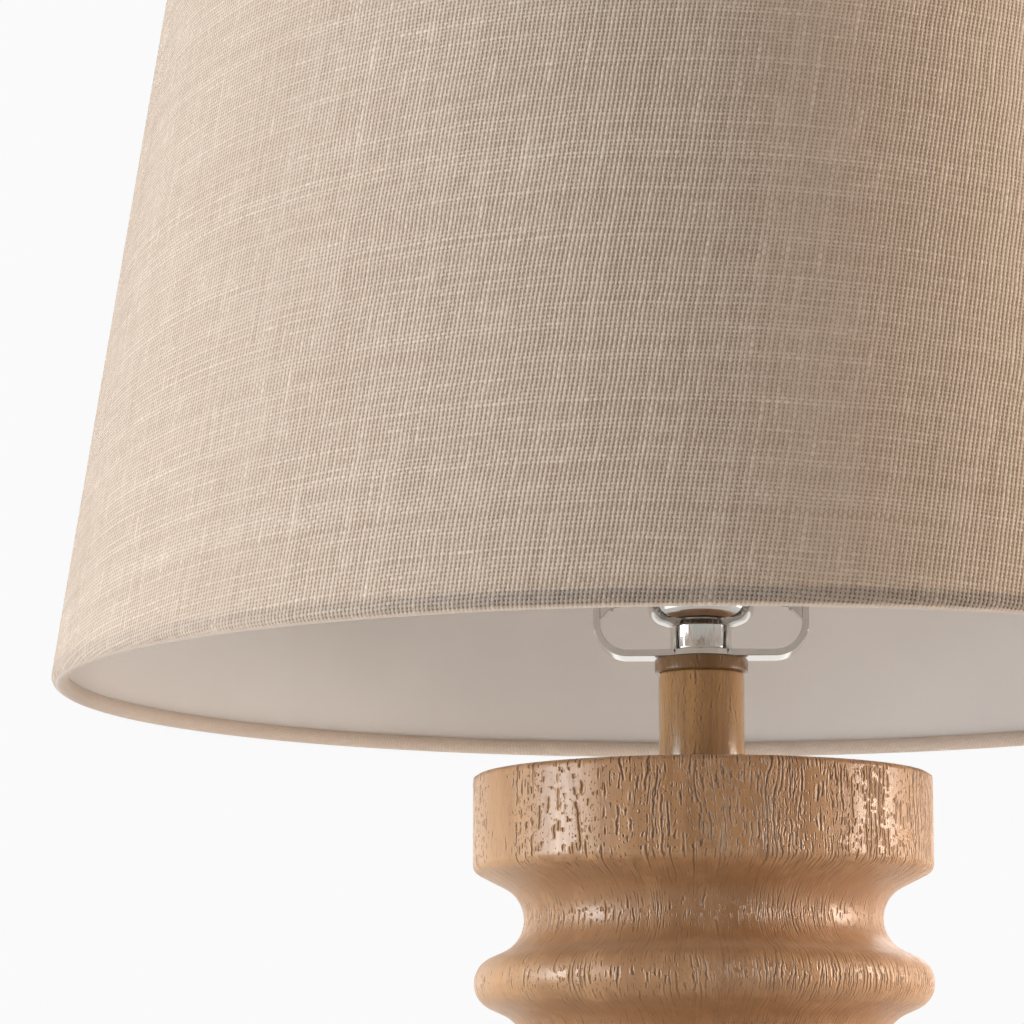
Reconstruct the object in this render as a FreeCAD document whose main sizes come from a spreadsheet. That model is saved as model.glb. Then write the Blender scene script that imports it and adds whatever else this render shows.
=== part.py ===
import FreeCAD, Part
import math
import os
import re

import Sketcher

# Column table lamp: a turned wooden column of seven beads between two thick discs, a slim
# wooden neck, a polished harp with its saddle and socket, and a tapered linen shade.
# Millimetres, +Z up. The origin is the middle of the base, on the table.

Vector = FreeCAD.Vector
document = FreeCAD.newDocument("column_table_lamp")

# ---------------------------------------------------------------- driving dimensions
SIZES = (
    # felt and foot
    ("felt_thickness", 2.0, "felt under the foot"),
    ("felt_inset", 2.2, "felt edge behind the foot's side"),
    ("disc_radius", 67.2, "radius of the foot and of the cap disc"),
    ("foot_thickness", 32.0, "foot, from the felt to its top edge"),
    ("outer_round", 1.2, "round of the foot's bottom edge and the cap's top edge"),
    ("inner_round", 3.0, "round of the two disc edges that face the beads"),
    ("lip_rise", 12.84, "from a disc's inner edge to the middle of the cove beside it"),
    ("recess_radius", 50.0, "turned recess in the underside"),
    ("recess_depth", 28.0, "depth of that recess"),
    # what the recess holds
    ("weight_radius", 44.0, "cast ring that steadies the lamp"),
    ("weight_thickness", 12.0, "its thickness"),
    ("weight_round", 2.0, "round of its lower edge"),
    ("base_washer_radius", 16.0, "flat washer under the weight"),
    ("base_washer_thickness", 1.5, "its thickness"),
    ("lock_washer_radius", 8.5, "split lock washer"),
    ("lock_washer_thickness", 1.6, "its thickness"),
    ("lock_washer_gap", 1.5, "width of its split"),
    ("nut_across_flats", 14.3, "hexagon nut on the rod"),
    ("nut_thickness", 4.8, "its thickness"),
    ("rod_stub", 1.1, "rod below the nut"),
    # inlet for the mains lead
    ("inlet_height", 11.5, "axis of the lead's hole above the table"),
    ("inlet_bore_radius", 3.1, "bore of the bushing"),
    ("bushing_barrel_radius", 4.9, "bushing, outside of the barrel"),
    ("bushing_fit", 0.1, "bushing in its hole, radial"),
    ("bushing_length", 15.4, "barrel from the flange inwards"),
    ("bushing_flange_radius", 7.0, "bushing flange"),
    ("bushing_flange_thickness", 1.5, "its thickness"),
    ("spotface_depth", 0.8, "flat seat for the flange, below the foot's side"),
    # rod
    ("rod_radius", 4.85, "threaded rod, outside"),
    ("rod_bore_radius", 3.25, "wire way in the rod"),
    ("rod_tip", 0.9, "rod above the hub of the socket cap"),
    ("thread_fit", 0.05, "rod in a threaded hole, radial"),
    ("washer_clearance", 0.3, "rod in washers and strip, radial"),
    ("wood_clearance", 0.6, "rod in drilled wood, radial"),
    # column
    ("bead_count", 7, "number of beads"),
    ("bead_setback", 0.3, "bead's crest behind the discs' side"),
    ("bead_round", 8.0, "section radius of a bead"),
    ("cove_depth", 14.85, "bottom of a cove behind the discs' side"),
    ("cove_round", 10.5, "section radius of a cove"),
    ("cap_thickness", 28.96, "cap disc"),
    # neck
    ("neck_radius", 12.6, "neck"),
    ("neck_height", 30.4, "its height"),
    ("neck_edge", 0.5, "its rounded top edge"),
    ("neck_ring_height", 0.9, "thin ring turned at its foot"),
    ("neck_groove", 0.5, "width and depth of the groove over that ring"),
    ("collar_radius", 13.7, "collar on the neck"),
    ("collar_height", 4.2, "its height"),
    ("collar_round", 0.8, "its rounded edges"),
    ("gasket_radius", 12.4, "thin washer under the saddle"),
    ("gasket_thickness", 0.4, "its thickness"),
    # saddle of the harp
    ("strip_width", 13.0, "saddle strip"),
    ("strip_thickness", 2.0, "its thickness"),
    ("saddle_span", 63.4, "over its two arms"),
    ("saddle_bend", 10.0, "outer radius of its bends"),
    ("eye_radius", 10.5, "round eye in its middle"),
    ("arm_height", 27.0, "top of the arms over the underside"),
    ("arm_taper_start", 10.5, "where the arms begin to narrow"),
    ("ledge_height", 15.9, "ledge that a ferrule rests on"),
    ("ledge_half_width", 5.7, "half the strip's width at that ledge"),
    ("wing_start", 11.5, "lower tip of the folded wings"),
    ("wing_run", 3.9, "height over which a wing widens"),
    ("wing_reach", 4.2, "depth of the wings"),
    ("wing_thickness", 1.0, "their thickness"),
    ("leg_floor", 14.2, "floor that a harp leg stands on"),
    ("leg_clearance", 0.3, "leg in its gutter"),
    # harp
    ("harp_wire_radius", 1.8, "harp wire"),
    ("harp_height", 228.6, "saddle's underside to the top of the wire"),
    ("harp_leg", 29.0, "straight foot of each leg"),
    ("harp_shoulder", 50.0, "radius of the two bends that widen the harp"),
    ("harp_half_width", 62.5, "axis of the harp to the wire's middle"),
    ("boss_radius", 4.6, "boss that grips the wire"),
    ("boss_skirt", 1.0, "boss below the wire"),
    ("seat_radius", 6.5, "seat for the shade's washer"),
    ("seat_thickness", 2.3, "its thickness"),
    ("stud_radius", 3.1, "threaded stud for the finial"),
    ("stud_height", 10.1, "its height over the seat"),
    # ferrules
    ("ferrule_wall", 0.7, "wall of the sliding ferrules"),
    ("ferrule_length", 12.5, "their length"),
    ("ferrule_clearance", 0.3, "ferrule around arm and leg"),
    ("ferrule_lip", 0.8, "turned-in top of a ferrule"),
    # socket, from the lamp's base outwards
    ("bulb_base_radius", 13.05, "metal base of the lamp bulb"),
    ("screw_clearance", 0.3, "bulb base in the screw shell"),
    ("screw_shell_wall", 0.4, "screw shell"),
    ("screw_shell_height", 24.5, "its height"),
    ("screw_shell_hole", 7.5, "hole in its floor"),
    ("socket_air", 0.85, "screw shell to the fibre sleeve"),
    ("sleeve_wall", 0.6, "fibre sleeve"),
    ("socket_fit", 0.15, "sleeve in shell, shell in cap"),
    ("shell_wall", 0.6, "outer shell"),
    ("shell_ledge", 0.45, "ledge in the cap that the shell stands on"),
    ("shell_rim_rise", 5.5, "shell above the screw shell"),
    ("rim_bead", 0.5, "rolled bead at the shell's mouth"),
    ("sleeve_setback", 2.5, "sleeve below the shell's mouth"),
    ("cap_wall", 0.8, "socket cap"),
    ("hub_radius", 9.05, "hub of the cap"),
    ("hub_height", 6.9, "its height"),
    ("hub_chamfer", 0.6, "its lower edge"),
    ("bell_slope", 20.0, "slope of the bell's underside, degrees"),
    ("bell_round", 5.2, "round of the bell"),
    ("bell_skirt", 3.0, "upright part of the bell"),
    ("grub_radius", 1.5, "set screw in the hub"),
    ("grub_length", 5.0, "its length"),
    ("core_fit", 0.3, "core in the sleeve"),
    ("core_lift", 1.2, "core above the round of the bell"),
    ("core_height", 14.6, "core of the socket"),
    ("core_web", 1.1, "core above the switch's bore"),
    ("core_flange", 1.0, "flange of the core, on the cap's ledge"),
    ("terminal_depth", 4.0, "pockets of the terminals"),
    ("terminal_width", 8.0, "their width"),
    ("terminal_height", 9.0, "their height"),
    ("terminal_level", 4.5, "screw axis above the core's foot"),
    ("screw_head_radius", 2.8, "terminal screw head"),
    ("screw_head_thickness", 1.6, "its thickness"),
    ("screw_shank_radius", 1.4, "terminal screw shank"),
    ("screw_shank_length", 5.0, "its length"),
    ("screw_slot", 0.7, "width and depth of the slots"),
    ("contact_rise", 1.6, "centre contact above the core"),
    ("contact_thickness", 0.5, "its strip"),
    ("contact_width", 5.0, "its width"),
    # switch
    ("rotor_radius", 3.8, "rotor of the switch"),
    ("rotor_length", 9.5, "its length"),
    ("rotor_recess", 1.5, "rotor behind the core's side"),
    ("rotor_clearance", 0.1, "rotor in its bore"),
    ("rotor_flat", 0.4, "depth of its flats"),
    ("rotor_flat_count", 4, "their number"),
    ("shaft_radius", 1.6, "switch shaft"),
    ("shaft_clearance", 0.05, "shaft in rotor and knob"),
    ("slot_clearance", 0.5, "shaft in the slot of shell and sleeve"),
    ("mouth_clearance", 0.7, "shaft above the cap's mouth"),
    ("knob_gap", 1.5, "knob outside the cap"),
    ("knob_radius", 4.6, "switch knob"),
    ("knob_length", 12.0, "its length"),
    ("knob_round", 0.9, "its outer edge"),
    ("knob_socket", 8.0, "shaft inside the knob"),
    ("flute_radius", 0.9, "flutes of the knob"),
    ("flute_count", 12, "their number"),
    # bulb
    ("tip_gap", 0.1, "bulb above the contact"),
    ("tip_radius", 3.4, "contact of the bulb"),
    ("tip_height", 1.6, "its height"),
    ("insulator_radius", 10.5, "glass insulator, upper radius"),
    ("insulator_height", 3.6, "its height"),
    ("base_wall", 0.4, "sheet of the bulb's base"),
    ("base_hole", 7.0, "hole in its floor"),
    ("base_height", 20.8, "its height"),
    ("envelope_wall", 0.8, "glass wall"),
    ("envelope_inset", 7.0, "glass inside the base"),
    ("envelope_neck", 13.6, "neck of the glass"),
    ("envelope_bend", 45.0, "hollow curve above the neck"),
    ("envelope_radius", 30.1, "round of the glass"),
    ("bulb_length", 108.0, "contact to the top of the glass"),
    ("glue_gap", 0.3, "glass in its base"),
    # shade
    ("shade_base_radius", 190.5, "shade, lower edge"),
    ("shade_top_radius", 152.4, "shade, upper edge"),
    ("shade_height", 254.0, "its height"),
    ("linen_thickness", 0.7, "linen"),
    ("liner_thickness", 0.6, "stiff liner behind the linen"),
    ("glue_line", 0.1, "between linen and liner"),
    ("lip_setback", 0.1, "end of the hem before the liner"),
    ("liner_start", 1.75, "liner's edge to the middle of the wire"),
    ("ring_wire_radius", 1.5, "wire of the two rings"),
    ("ring_play", 0.3, "wire in its hem"),
    ("fitter_drop", 12.7, "fitter below the shade's upper edge"),
    ("fitter_radius", 13.0, "fitter washer"),
    ("fitter_hole", 5.3, "its hole"),
    ("fitter_thickness", 1.6, "its thickness"),
    ("arm_count", 3, "arms of the spider"),
    ("arm_radius", 1.7, "their wire"),
    ("arm_start", 8.6, "where they begin on the washer"),
    ("arm_angle", 35.0, "their rise towards the ring, degrees"),
    ("arm_bend", 8.0, "radius of that bend"),
    ("weld_gap", 0.15, "end of an arm before the ring"),
    ("notch_clearance", 0.5, "arm in the notch of the hem"),
    # finial
    ("insert_radius", 4.3, "threaded insert of the finial"),
    ("insert_height", 9.0, "its height"),
    ("insert_clearance", 0.05, "insert in the knob, radial"),
    ("stud_clearance", 0.08, "stud in the insert, radial"),
    ("finial_flange", 7.5, "finial's foot"),
    ("finial_flange_height", 1.5, "its height"),
    ("finial_neck", 5.6, "finial's neck"),
    ("finial_slope", 1.1, "foot to neck"),
    ("finial_ball", 9.5, "finial's ball"),
    ("finial_height", 24.0, "its height"),
    ("finial_space", 0.3, "knob above the insert"),
)

# ------------------------------------------------- places that follow from the sizes
PLACES = (
    # column
    ("foot_top", "felt_thickness + foot_thickness"),
    ("recess_top", "felt_thickness + recess_depth"),
    ("split_level", "foot_top + lip_rise"),
    ("half_pitch", "bead_round + cove_round"),
    ("bead_reach", "disc_radius - bead_setback"),
    ("cove_reach", "disc_radius - cove_depth"),
    ("bead_middle", "bead_reach - bead_round"),
    ("cove_middle", "cove_reach + cove_round"),
    ("flank_slope", "2 * atan((cove_middle - bead_middle) / half_pitch)"),
    ("lip_run", "cove_middle - disc_radius + inner_round"),
    ("lip_drop", "lip_rise + inner_round"),
    ("lip_slope", "atan(lip_run / lip_drop)"
                  " + acos((inner_round + cove_round) / sqrt(lip_run ^ 2 + lip_drop ^ 2))"),
    ("last_cove", "split_level + 2 * half_pitch * bead_count"),
    ("cap_bottom", "last_cove + lip_rise"),
    ("cap_top", "cap_bottom + cap_thickness"),
    ("wood_bore", "rod_radius + wood_clearance"),
    ("washer_bore", "rod_radius + washer_clearance"),
    # fastening in the recess
    ("weight_bottom", "recess_top - weight_thickness"),
    ("base_washer_bottom", "weight_bottom - base_washer_thickness"),
    ("lock_washer_bottom", "base_washer_bottom - lock_washer_thickness"),
    ("nut_bottom", "lock_washer_bottom - nut_thickness"),
    ("rod_bottom", "nut_bottom - rod_stub"),
    # neck and saddle
    ("neck_top", "cap_top + neck_height"),
    ("collar_top", "neck_top + collar_height"),
    ("saddle_bottom", "collar_top + gasket_thickness"),
    ("saddle_top", "saddle_bottom + strip_thickness"),
    ("arm_outside", "saddle_span / 2"),
    ("arm_inside", "arm_outside - strip_thickness"),
    ("arm_top", "saddle_bottom + arm_height"),
    ("ledge_level", "saddle_bottom + ledge_height"),
    ("leg_channel", "harp_wire_radius + leg_clearance"),
    ("gutter_half", "leg_channel + wing_thickness"),
    ("leg_offset", "arm_inside - leg_clearance - harp_wire_radius"),
    ("leg_bottom", "saddle_bottom + leg_floor"),
    # harp
    ("leg_top", "leg_bottom + harp_leg"),
    ("shoulder_turn", "acos(1 - (harp_half_width - leg_offset) / (2 * harp_shoulder))"),
    ("shoulder_rise", "harp_shoulder * sin(shoulder_turn)"),
    ("shoulder_top", "leg_top + 2 * shoulder_rise"),
    ("crown_top", "saddle_bottom + harp_height"),
    ("crown_line", "crown_top - harp_wire_radius"),
    ("crown_spring", "crown_line - harp_half_width"),
    ("seat_top", "crown_top + seat_thickness"),
    ("stud_top", "seat_top + stud_height"),
    ("ferrule_bore", "sqrt((arm_outside - leg_offset) ^ 2 + gutter_half ^ 2) + ferrule_clearance"),
    ("ferrule_top", "ledge_level + ferrule_length"),
    # socket, radii from the bulb outwards
    ("screw_shell_inside", "bulb_base_radius + screw_clearance"),
    ("screw_shell_outside", "screw_shell_inside + screw_shell_wall"),
    ("sleeve_inside", "screw_shell_outside + socket_air"),
    ("sleeve_outside", "sleeve_inside + sleeve_wall"),
    ("shell_inside", "sleeve_outside + socket_fit"),
    ("shell_outside", "shell_inside + shell_wall"),
    ("mouth_inside", "shell_outside + socket_fit"),
    ("mouth_outside", "mouth_inside + cap_wall"),
    ("bell_inside", "shell_inside - shell_ledge"),
    ("bell_radius", "bell_inside + cap_wall"),
    ("core_radius", "sleeve_inside - core_fit"),
    # socket, levels
    ("hub_top", "saddle_top + hub_height"),
    ("bell_touch", "bell_radius - bell_round * (1 - sin(bell_slope * 1 deg))"),
    ("bell_level", "hub_top + (bell_touch - hub_radius) * tan(bell_slope * 1 deg)"
                   " + bell_round * cos(bell_slope * 1 deg)"),
    ("bell_step", "bell_level + bell_skirt"),
    ("shell_bottom", "bell_step + cap_wall"),
    ("flange_top", "shell_bottom + core_flange"),
    ("core_bottom", "bell_level + core_lift"),
    ("core_top", "core_bottom + core_height"),
    ("shaft_level", "core_top - core_web - rotor_radius - rotor_clearance"),
    ("cap_mouth", "shaft_level - shaft_radius - mouth_clearance"),
    ("screw_shell_top", "core_top + screw_shell_height"),
    ("shell_top", "screw_shell_top + shell_rim_rise"),
    ("sleeve_top", "shell_top - sleeve_setback"),
    ("rod_top", "hub_top + rod_tip"),
    ("rotor_start", "core_radius - rotor_recess"),
    ("rotor_end", "rotor_start - rotor_length"),
    ("knob_start", "mouth_outside + knob_gap"),
    ("terminal_face", "core_radius - terminal_depth"),
    # bulb
    ("bulb_bottom", "core_top + contact_rise + tip_gap"),
    ("insulator_bottom", "bulb_bottom + tip_height"),
    ("base_bottom", "insulator_bottom + insulator_height"),
    ("base_top", "base_bottom + base_height"),
    ("envelope_level", "bulb_bottom + bulb_length - envelope_radius"),
    ("envelope_spigot", "bulb_base_radius - base_wall - glue_gap"),
    ("bend_middle", "envelope_neck + envelope_bend"),
    ("bend_drop", "sqrt((envelope_radius + envelope_bend) ^ 2 - bend_middle ^ 2)"),
    # shade
    ("shade_bottom", "seat_top + fitter_drop - shade_height"),
    ("shade_top", "shade_bottom + shade_height"),
    ("shade_taper", "(shade_base_radius - shade_top_radius) / shade_height"),
    ("shade_lean", "atan(shade_taper)"),
    ("wire_channel", "ring_wire_radius + ring_play"),
    ("hem_radius", "wire_channel + linen_thickness"),
    ("liner_outer", "hem_radius - linen_thickness - glue_line"),
    ("liner_inner", "liner_outer - liner_thickness"),
    ("lip_end", "liner_inner - lip_setback"),
    ("bottom_ring_level", "shade_bottom + hem_radius"),
    ("bottom_ring_radius", "shade_base_radius - hem_radius * shade_taper"
                           " - hem_radius / cos(shade_lean)"),
    ("top_ring_level", "shade_top - hem_radius"),
    ("top_ring_radius", "shade_top_radius + hem_radius * shade_taper"
                        " - hem_radius / cos(shade_lean)"),
    ("fitter_top", "seat_top + fitter_thickness"),
    ("arm_level", "fitter_top + arm_radius"),
    ("arm_corner", "top_ring_radius - (top_ring_level - arm_level) / tan(arm_angle * 1 deg)"),
    ("arm_cut", "arm_bend * tan(arm_angle * 0.5 deg)"),
    ("arm_end", "ring_wire_radius + weld_gap"),
    # finial
    ("ball_level", "fitter_top + finial_height - finial_ball"),
    ("ball_drop", "sqrt(finial_ball ^ 2 - finial_neck ^ 2)"),
    ("finial_bore", "insert_radius + insert_clearance"),
    ("finial_cavity", "fitter_top + insert_height + finial_space"),
)

OWNER = {}


def bound(formula, home=None):
    """The formula with every alias led by the name of its sheet, unless that is home."""
    def lead(word):
        name = word.group()
        sheet = OWNER.get(name)
        return name if sheet in (None, home) else f"{sheet}.{name}"
    return re.sub(r"[a-z_]+", lead, formula)


def fill_sheet(title, rows):
    """A sheet with an alias and a value or formula in each row."""
    sheet = document.addObject("Spreadsheet::Sheet", title)
    for row, (alias, content) in enumerate(rows, start=1):
        sheet.set(f"A{row}", alias)
        sheet.set(f"B{row}", content)
        sheet.setAlias(f"B{row}", alias)
        OWNER[alias] = title
    document.recompute()
    return sheet


def worth(formula):
    """The number that a formula gives now."""
    value = sizes.evalExpression(bound(formula))
    return float(getattr(value, "Value", value))


sizes = fill_sheet("Sizes", [(alias, str(value)) for alias, value, meaning in SIZES])
fill_sheet("Places", [(alias, "=" + bound(formula, "Places")) for alias, formula in PLACES])


# ------------------------------------------------------------------- ways of making
def new_body(label):
    body = document.addObject("PartDesign::Body", label)
    body.Label = label
    return body


def sketch_on(body, role, name, offset=None):
    """An empty sketch on one of the body's own planes, moved along its normal by offset."""
    sketch = body.newObject("Sketcher::SketchObject", f"{body.Name}_{name}")
    plane = next(item for item in body.Origin.OriginFeatures if item.Role == role)
    sketch.AttachmentSupport = [(plane, "")]
    sketch.MapMode = "FlatFace"
    if offset:
        sketch.setExpression(".AttachmentOffset.Base.z", bound(offset))
    return sketch


def pin(sketch, geometry, point, across, along):
    """Ties a point of the sketch to two formulas."""
    for kind, formula, axis in (("DistanceX", across, -2), ("DistanceY", along, -1)):
        if formula == "0":
            sketch.addConstraint(Sketcher.Constraint("PointOnObject", geometry, point, axis))
            continue
        index = sketch.addConstraint(
            Sketcher.Constraint(kind, -1, 1, geometry, point, worth(formula)))
        sketch.setExpression(f"Constraints[{index}]", bound(formula))


def trace(sketch, corners, closed=True):
    """Lines and arcs through corners (x, y) or (x, y, radius, turn).

    A radius and a turn, +1 to the left and -1 to the right, make the stretch that arrives
    at that corner an arc of less than half a circle.
    """
    spots = [Vector(worth(corner[0]), worth(corner[1]), 0) for corner in corners]
    stretches = [(k, (k + 1) % len(corners)) for k in range(len(corners) - (not closed))]
    shapes, ends = [], []
    count, base = len(stretches), sketch.GeometryCount
    for start, finish in stretches:
        first, last = spots[start], spots[finish]
        if len(corners[finish]) == 2:
            shapes.append(Part.LineSegment(first, last))
            ends.append((1, 2))
            continue
        radius, turn = worth(corners[finish][2]), corners[finish][3]
        chord = last - first
        left = Vector(-chord.y, chord.x, 0).normalize()
        height = math.sqrt(max(radius ** 2 - chord.Length ** 2 / 4, 0))
        middle = first + chord / 2 + left * (height * turn)
        begin, stop = (first, last) if turn > 0 else (last, first)
        angles = [math.atan2(spot.y - middle.y, spot.x - middle.x) for spot in (begin, stop)]
        shapes.append(Part.ArcOfCircle(Part.Circle(middle, Vector(0, 0, 1), radius), *angles))
        ends.append((1, 2) if turn > 0 else (2, 1))
    sketch.addGeometry(shapes)
    for k in range(count if closed else count - 1):
        after = (k + 1) % count
        sketch.addConstraint(Sketcher.Constraint(
            "Coincident", base + k, ends[k][1], base + after, ends[after][0]))
    for k, (start, finish) in enumerate(stretches):
        pin(sketch, base + k, ends[k][0], corners[start][0], corners[start][1])
        if len(corners[finish]) == 4:
            size = sketch.addConstraint(
                Sketcher.Constraint("Radius", base + k, worth(corners[finish][2])))
            sketch.setExpression(f"Constraints[{size}]", bound(corners[finish][2]))
    if not closed:
        pin(sketch, base + count - 1, ends[-1][1], corners[-1][0], corners[-1][1])
    return sketch


def ring(sketch, across, along, radius):
    """A circle tied to three formulas."""
    index = sketch.addGeometry(
        Part.Circle(Vector(worth(across), worth(along), 0), Vector(0, 0, 1), worth(radius)))
    pin(sketch, index, 3, across, along)
    size = sketch.addConstraint(Sketcher.Constraint("Radius", index, worth(radius)))
    sketch.setExpression(f"Constraints[{size}]", bound(radius))
    return sketch


def box(left, low, right, high):
    return [(left, low), (right, low), (right, high), (left, high)]


def revolve(body, sketch, kind="Revolution"):
    feature = body.newObject(f"PartDesign::{kind}", f"{sketch.Name}_turned")
    feature.Profile = sketch
    feature.ReferenceAxis = (sketch, ["V_Axis"])
    feature.Angle = 360
    return feature


def extrude(body, sketch, length, kind="Pad", both=False, back=False):
    """Pads the sketch, or cuts it out, along its normal, against it or both ways."""
    feature = body.newObject(f"PartDesign::{kind}", f"{sketch.Name}_{kind.lower()}")
    feature.Profile = sketch
    if both:
        feature.SideType = "Symmetric"
    feature.Reversed = back
    feature.setExpression("Length", bound(length))
    return feature


def sweep(body, profile, path):
    feature = body.newObject("PartDesign::AdditivePipe", f"{path.Name}_swept")
    feature.Profile = profile
    feature.Spine = (path, [f"Edge{k + 1}" for k in range(path.GeometryCount)])
    return feature


def repeat(body, name, originals, count):
    """Copies features around the body's Z axis."""
    feature = body.newObject("PartDesign::PolarPattern", f"{body.Name}_{name}")
    feature.Originals = originals
    axis = next(item for item in body.Origin.OriginFeatures if item.Role == "Z_Axis")
    feature.Axis = (axis, [""])
    feature.Angle = 360
    feature.setExpression("Occurrences", bound(count))
    body.Tip = feature
    return feature


def mirror(body, name, originals):
    """The other half, on the far side of the YZ plane."""
    feature = body.newObject("PartDesign::Mirrored", f"{body.Name}_{name}")
    feature.Originals = originals
    plane = next(item for item in body.Origin.OriginFeatures if item.Role == "YZ_Plane")
    feature.MirrorPlane = (plane, [""])
    body.Tip = feature
    return feature


def turned(label, corners):
    """A piece turned about the Z axis from one closed section."""
    body = new_body(label)
    revolve(body, trace(sketch_on(body, "XZ_Plane", "section"), corners))
    return body


def lay(body, axis_turn, across="0", away="0", level="0"):
    """Turns a piece made upright about the X axis and carries it to its place."""
    body.Placement = FreeCAD.Placement(Vector(), FreeCAD.Rotation(Vector(1, 0, 0), axis_turn))
    for letter, formula in zip("xyz", (across, away, level)):
        body.setExpression(f".Placement.Base.{letter}", bound(formula))
    return body


TO_THE_BACK, TO_THE_FRONT = -90, 90


# ---------------------------------------------------------------- foot and its fittings
def felt_pad():
    return turned("felt_pad", box("0", "0", "disc_radius - felt_inset", "felt_thickness"))


def disc_lip(level, upward):
    """Touch points of the slant between a disc's rounded edge and the cove beside it."""
    sign = "+" if upward > 0 else "-"
    edge_level = f"({level}) {'-' if upward > 0 else '+'} lip_drop"
    edge = ("disc_radius - inner_round + inner_round * sin(lip_slope)",
            f"{edge_level} {sign} inner_round * cos(lip_slope)")
    cove = ("cove_middle - cove_round * sin(lip_slope)",
            f"({level}) {'-' if upward > 0 else '+'} cove_round * cos(lip_slope)")
    return edge, cove


def foot():
    edge, cove = disc_lip("split_level", 1)
    body = turned("foot", [
        ("wood_bore", "recess_top"), ("recess_radius", "recess_top"),
        ("recess_radius", "felt_thickness"), ("disc_radius - outer_round", "felt_thickness"),
        ("disc_radius", "felt_thickness + outer_round", "outer_round", 1),
        ("disc_radius", "foot_top - inner_round"),
        edge + ("inner_round", 1), cove,
        ("cove_reach", "split_level", "cove_round", -1), ("wood_bore", "split_level")])
    hole = ring(sketch_on(body, "XZ_Plane", "inlet"), "0", "inlet_height",
                "bushing_barrel_radius + bushing_fit")
    extrude(body, hole, "disc_radius + spotface_depth", "Pocket")
    seat = ring(sketch_on(body, "XZ_Plane", "spotface", "spotface_depth - disc_radius"),
                "0", "inlet_height", "bushing_flange_radius + bushing_fit")
    extrude(body, seat, "2 * spotface_depth", "Pocket")
    return body


def cord_bushing():
    body = turned("cord_bushing", [
        ("inlet_bore_radius", "-bushing_length"), ("bushing_barrel_radius", "-bushing_length"),
        ("bushing_barrel_radius", "0"), ("bushing_flange_radius", "0"),
        ("bushing_flange_radius", "bushing_flange_thickness / 2"),
        ("bushing_flange_radius - bushing_flange_thickness / 2", "bushing_flange_thickness",
         "bushing_flange_thickness / 2", 1),
        ("inlet_bore_radius", "bushing_flange_thickness")])
    return lay(body, TO_THE_BACK, away="disc_radius - spotface_depth", level="inlet_height")


def base_weight():
    return turned("base_weight", [
        ("washer_bore", "weight_bottom"), ("weight_radius - weight_round", "weight_bottom"),
        ("weight_radius", "weight_bottom + weight_round", "weight_round", 1),
        ("weight_radius", "recess_top"), ("washer_bore", "recess_top")])


def base_washer():
    return turned("base_washer",
                  box("washer_bore", "base_washer_bottom", "base_washer_radius", "weight_bottom"))


def lock_washer():
    body = turned("lock_washer", box("washer_bore", "lock_washer_bottom",
                                     "lock_washer_radius", "base_washer_bottom"))
    split = trace(sketch_on(body, "XY_Plane", "split", "lock_washer_bottom"),
                  box("0", "-lock_washer_gap / 2", "2 * lock_washer_radius", "lock_washer_gap / 2"))
    extrude(body, split, "lock_washer_thickness", "Pocket", back=True)
    return body


def base_nut():
    prism = document.addObject("Part::Prism", "nut_blank")
    prism.Polygon = 6
    prism.setExpression("Circumradius", bound("nut_across_flats / 2 / cos(30 deg)"))
    prism.setExpression("Height", bound("nut_thickness"))
    hole = document.addObject("Part::Cylinder", "nut_hole")
    hole.setExpression("Radius", bound("rod_radius + thread_fit"))
    hole.setExpression("Height", bound("nut_thickness"))
    for item in (prism, hole):
        item.setExpression(".Placement.Base.z", bound("nut_bottom"))
    nut = document.addObject("Part::Cut", "base_nut")
    nut.Base, nut.Tool = prism, hole
    return nut


def threaded_rod():
    return turned("threaded_rod", box("rod_bore_radius", "rod_bottom", "rod_radius", "rod_top"))


# -------------------------------------------------------------------- column and neck
def column():
    """Half a cove, then a bead and a cove seven times over, then the cap disc."""
    corners = [("wood_bore", "split_level"), ("cove_reach", "split_level")]
    flank = (("bead_middle + bead_round * sin(flank_slope)", "bead_round * cos(flank_slope)"),
             ("cove_middle - cove_round * sin(flank_slope)", "cove_round * cos(flank_slope)"))
    (bead_side, bead_step), (cove_side, cove_step) = flank
    for bead in range(int(worth("bead_count"))):
        cove = f"split_level + {2 * bead} * half_pitch"
        crest = f"split_level + {2 * bead + 1} * half_pitch"
        corners += [
            (cove_side, f"{cove} + {cove_step}", "cove_round", -1),
            (bead_side, f"{crest} - {bead_step}"),
            ("bead_reach", crest, "bead_round", 1),
            (bead_side, f"{crest} + {bead_step}", "bead_round", 1),
            (cove_side, f"{crest} + half_pitch - {cove_step}"),
            ("cove_reach", f"{crest} + half_pitch", "cove_round", -1)]
    edge, cove = disc_lip("last_cove", -1)
    corners += [
        cove + ("cove_round", -1), edge,
        ("disc_radius", "cap_bottom + inner_round", "inner_round", 1),
        ("disc_radius", "cap_top - outer_round"),
        ("disc_radius - outer_round", "cap_top", "outer_round", 1),
        ("wood_bore", "cap_top")]
    return turned("column", corners)


def neck():
    ring_edge = "neck_radius - neck_groove / 2"
    return turned("neck", [
        ("wood_bore", "cap_top"), (ring_edge, "cap_top"),
        (ring_edge, "cap_top + neck_ring_height"),
        ("neck_radius - neck_groove", "cap_top + neck_ring_height + neck_groove / 2"),
        ("neck_radius", "cap_top + neck_ring_height + neck_groove"),
        ("neck_radius", "neck_top - neck_edge"),
        ("neck_radius - neck_edge", "neck_top", "neck_edge", 1), ("wood_bore", "neck_top")])


def neck_collar():
    return turned("neck_collar", [
        ("wood_bore", "neck_top"), ("collar_radius - collar_round", "neck_top"),
        ("collar_radius", "neck_top + collar_round", "collar_round", 1),
        ("collar_radius", "collar_top - collar_round / 2"),
        ("collar_radius - collar_round / 2", "collar_top", "collar_round / 2", 1),
        ("wood_bore", "collar_top")])


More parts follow.
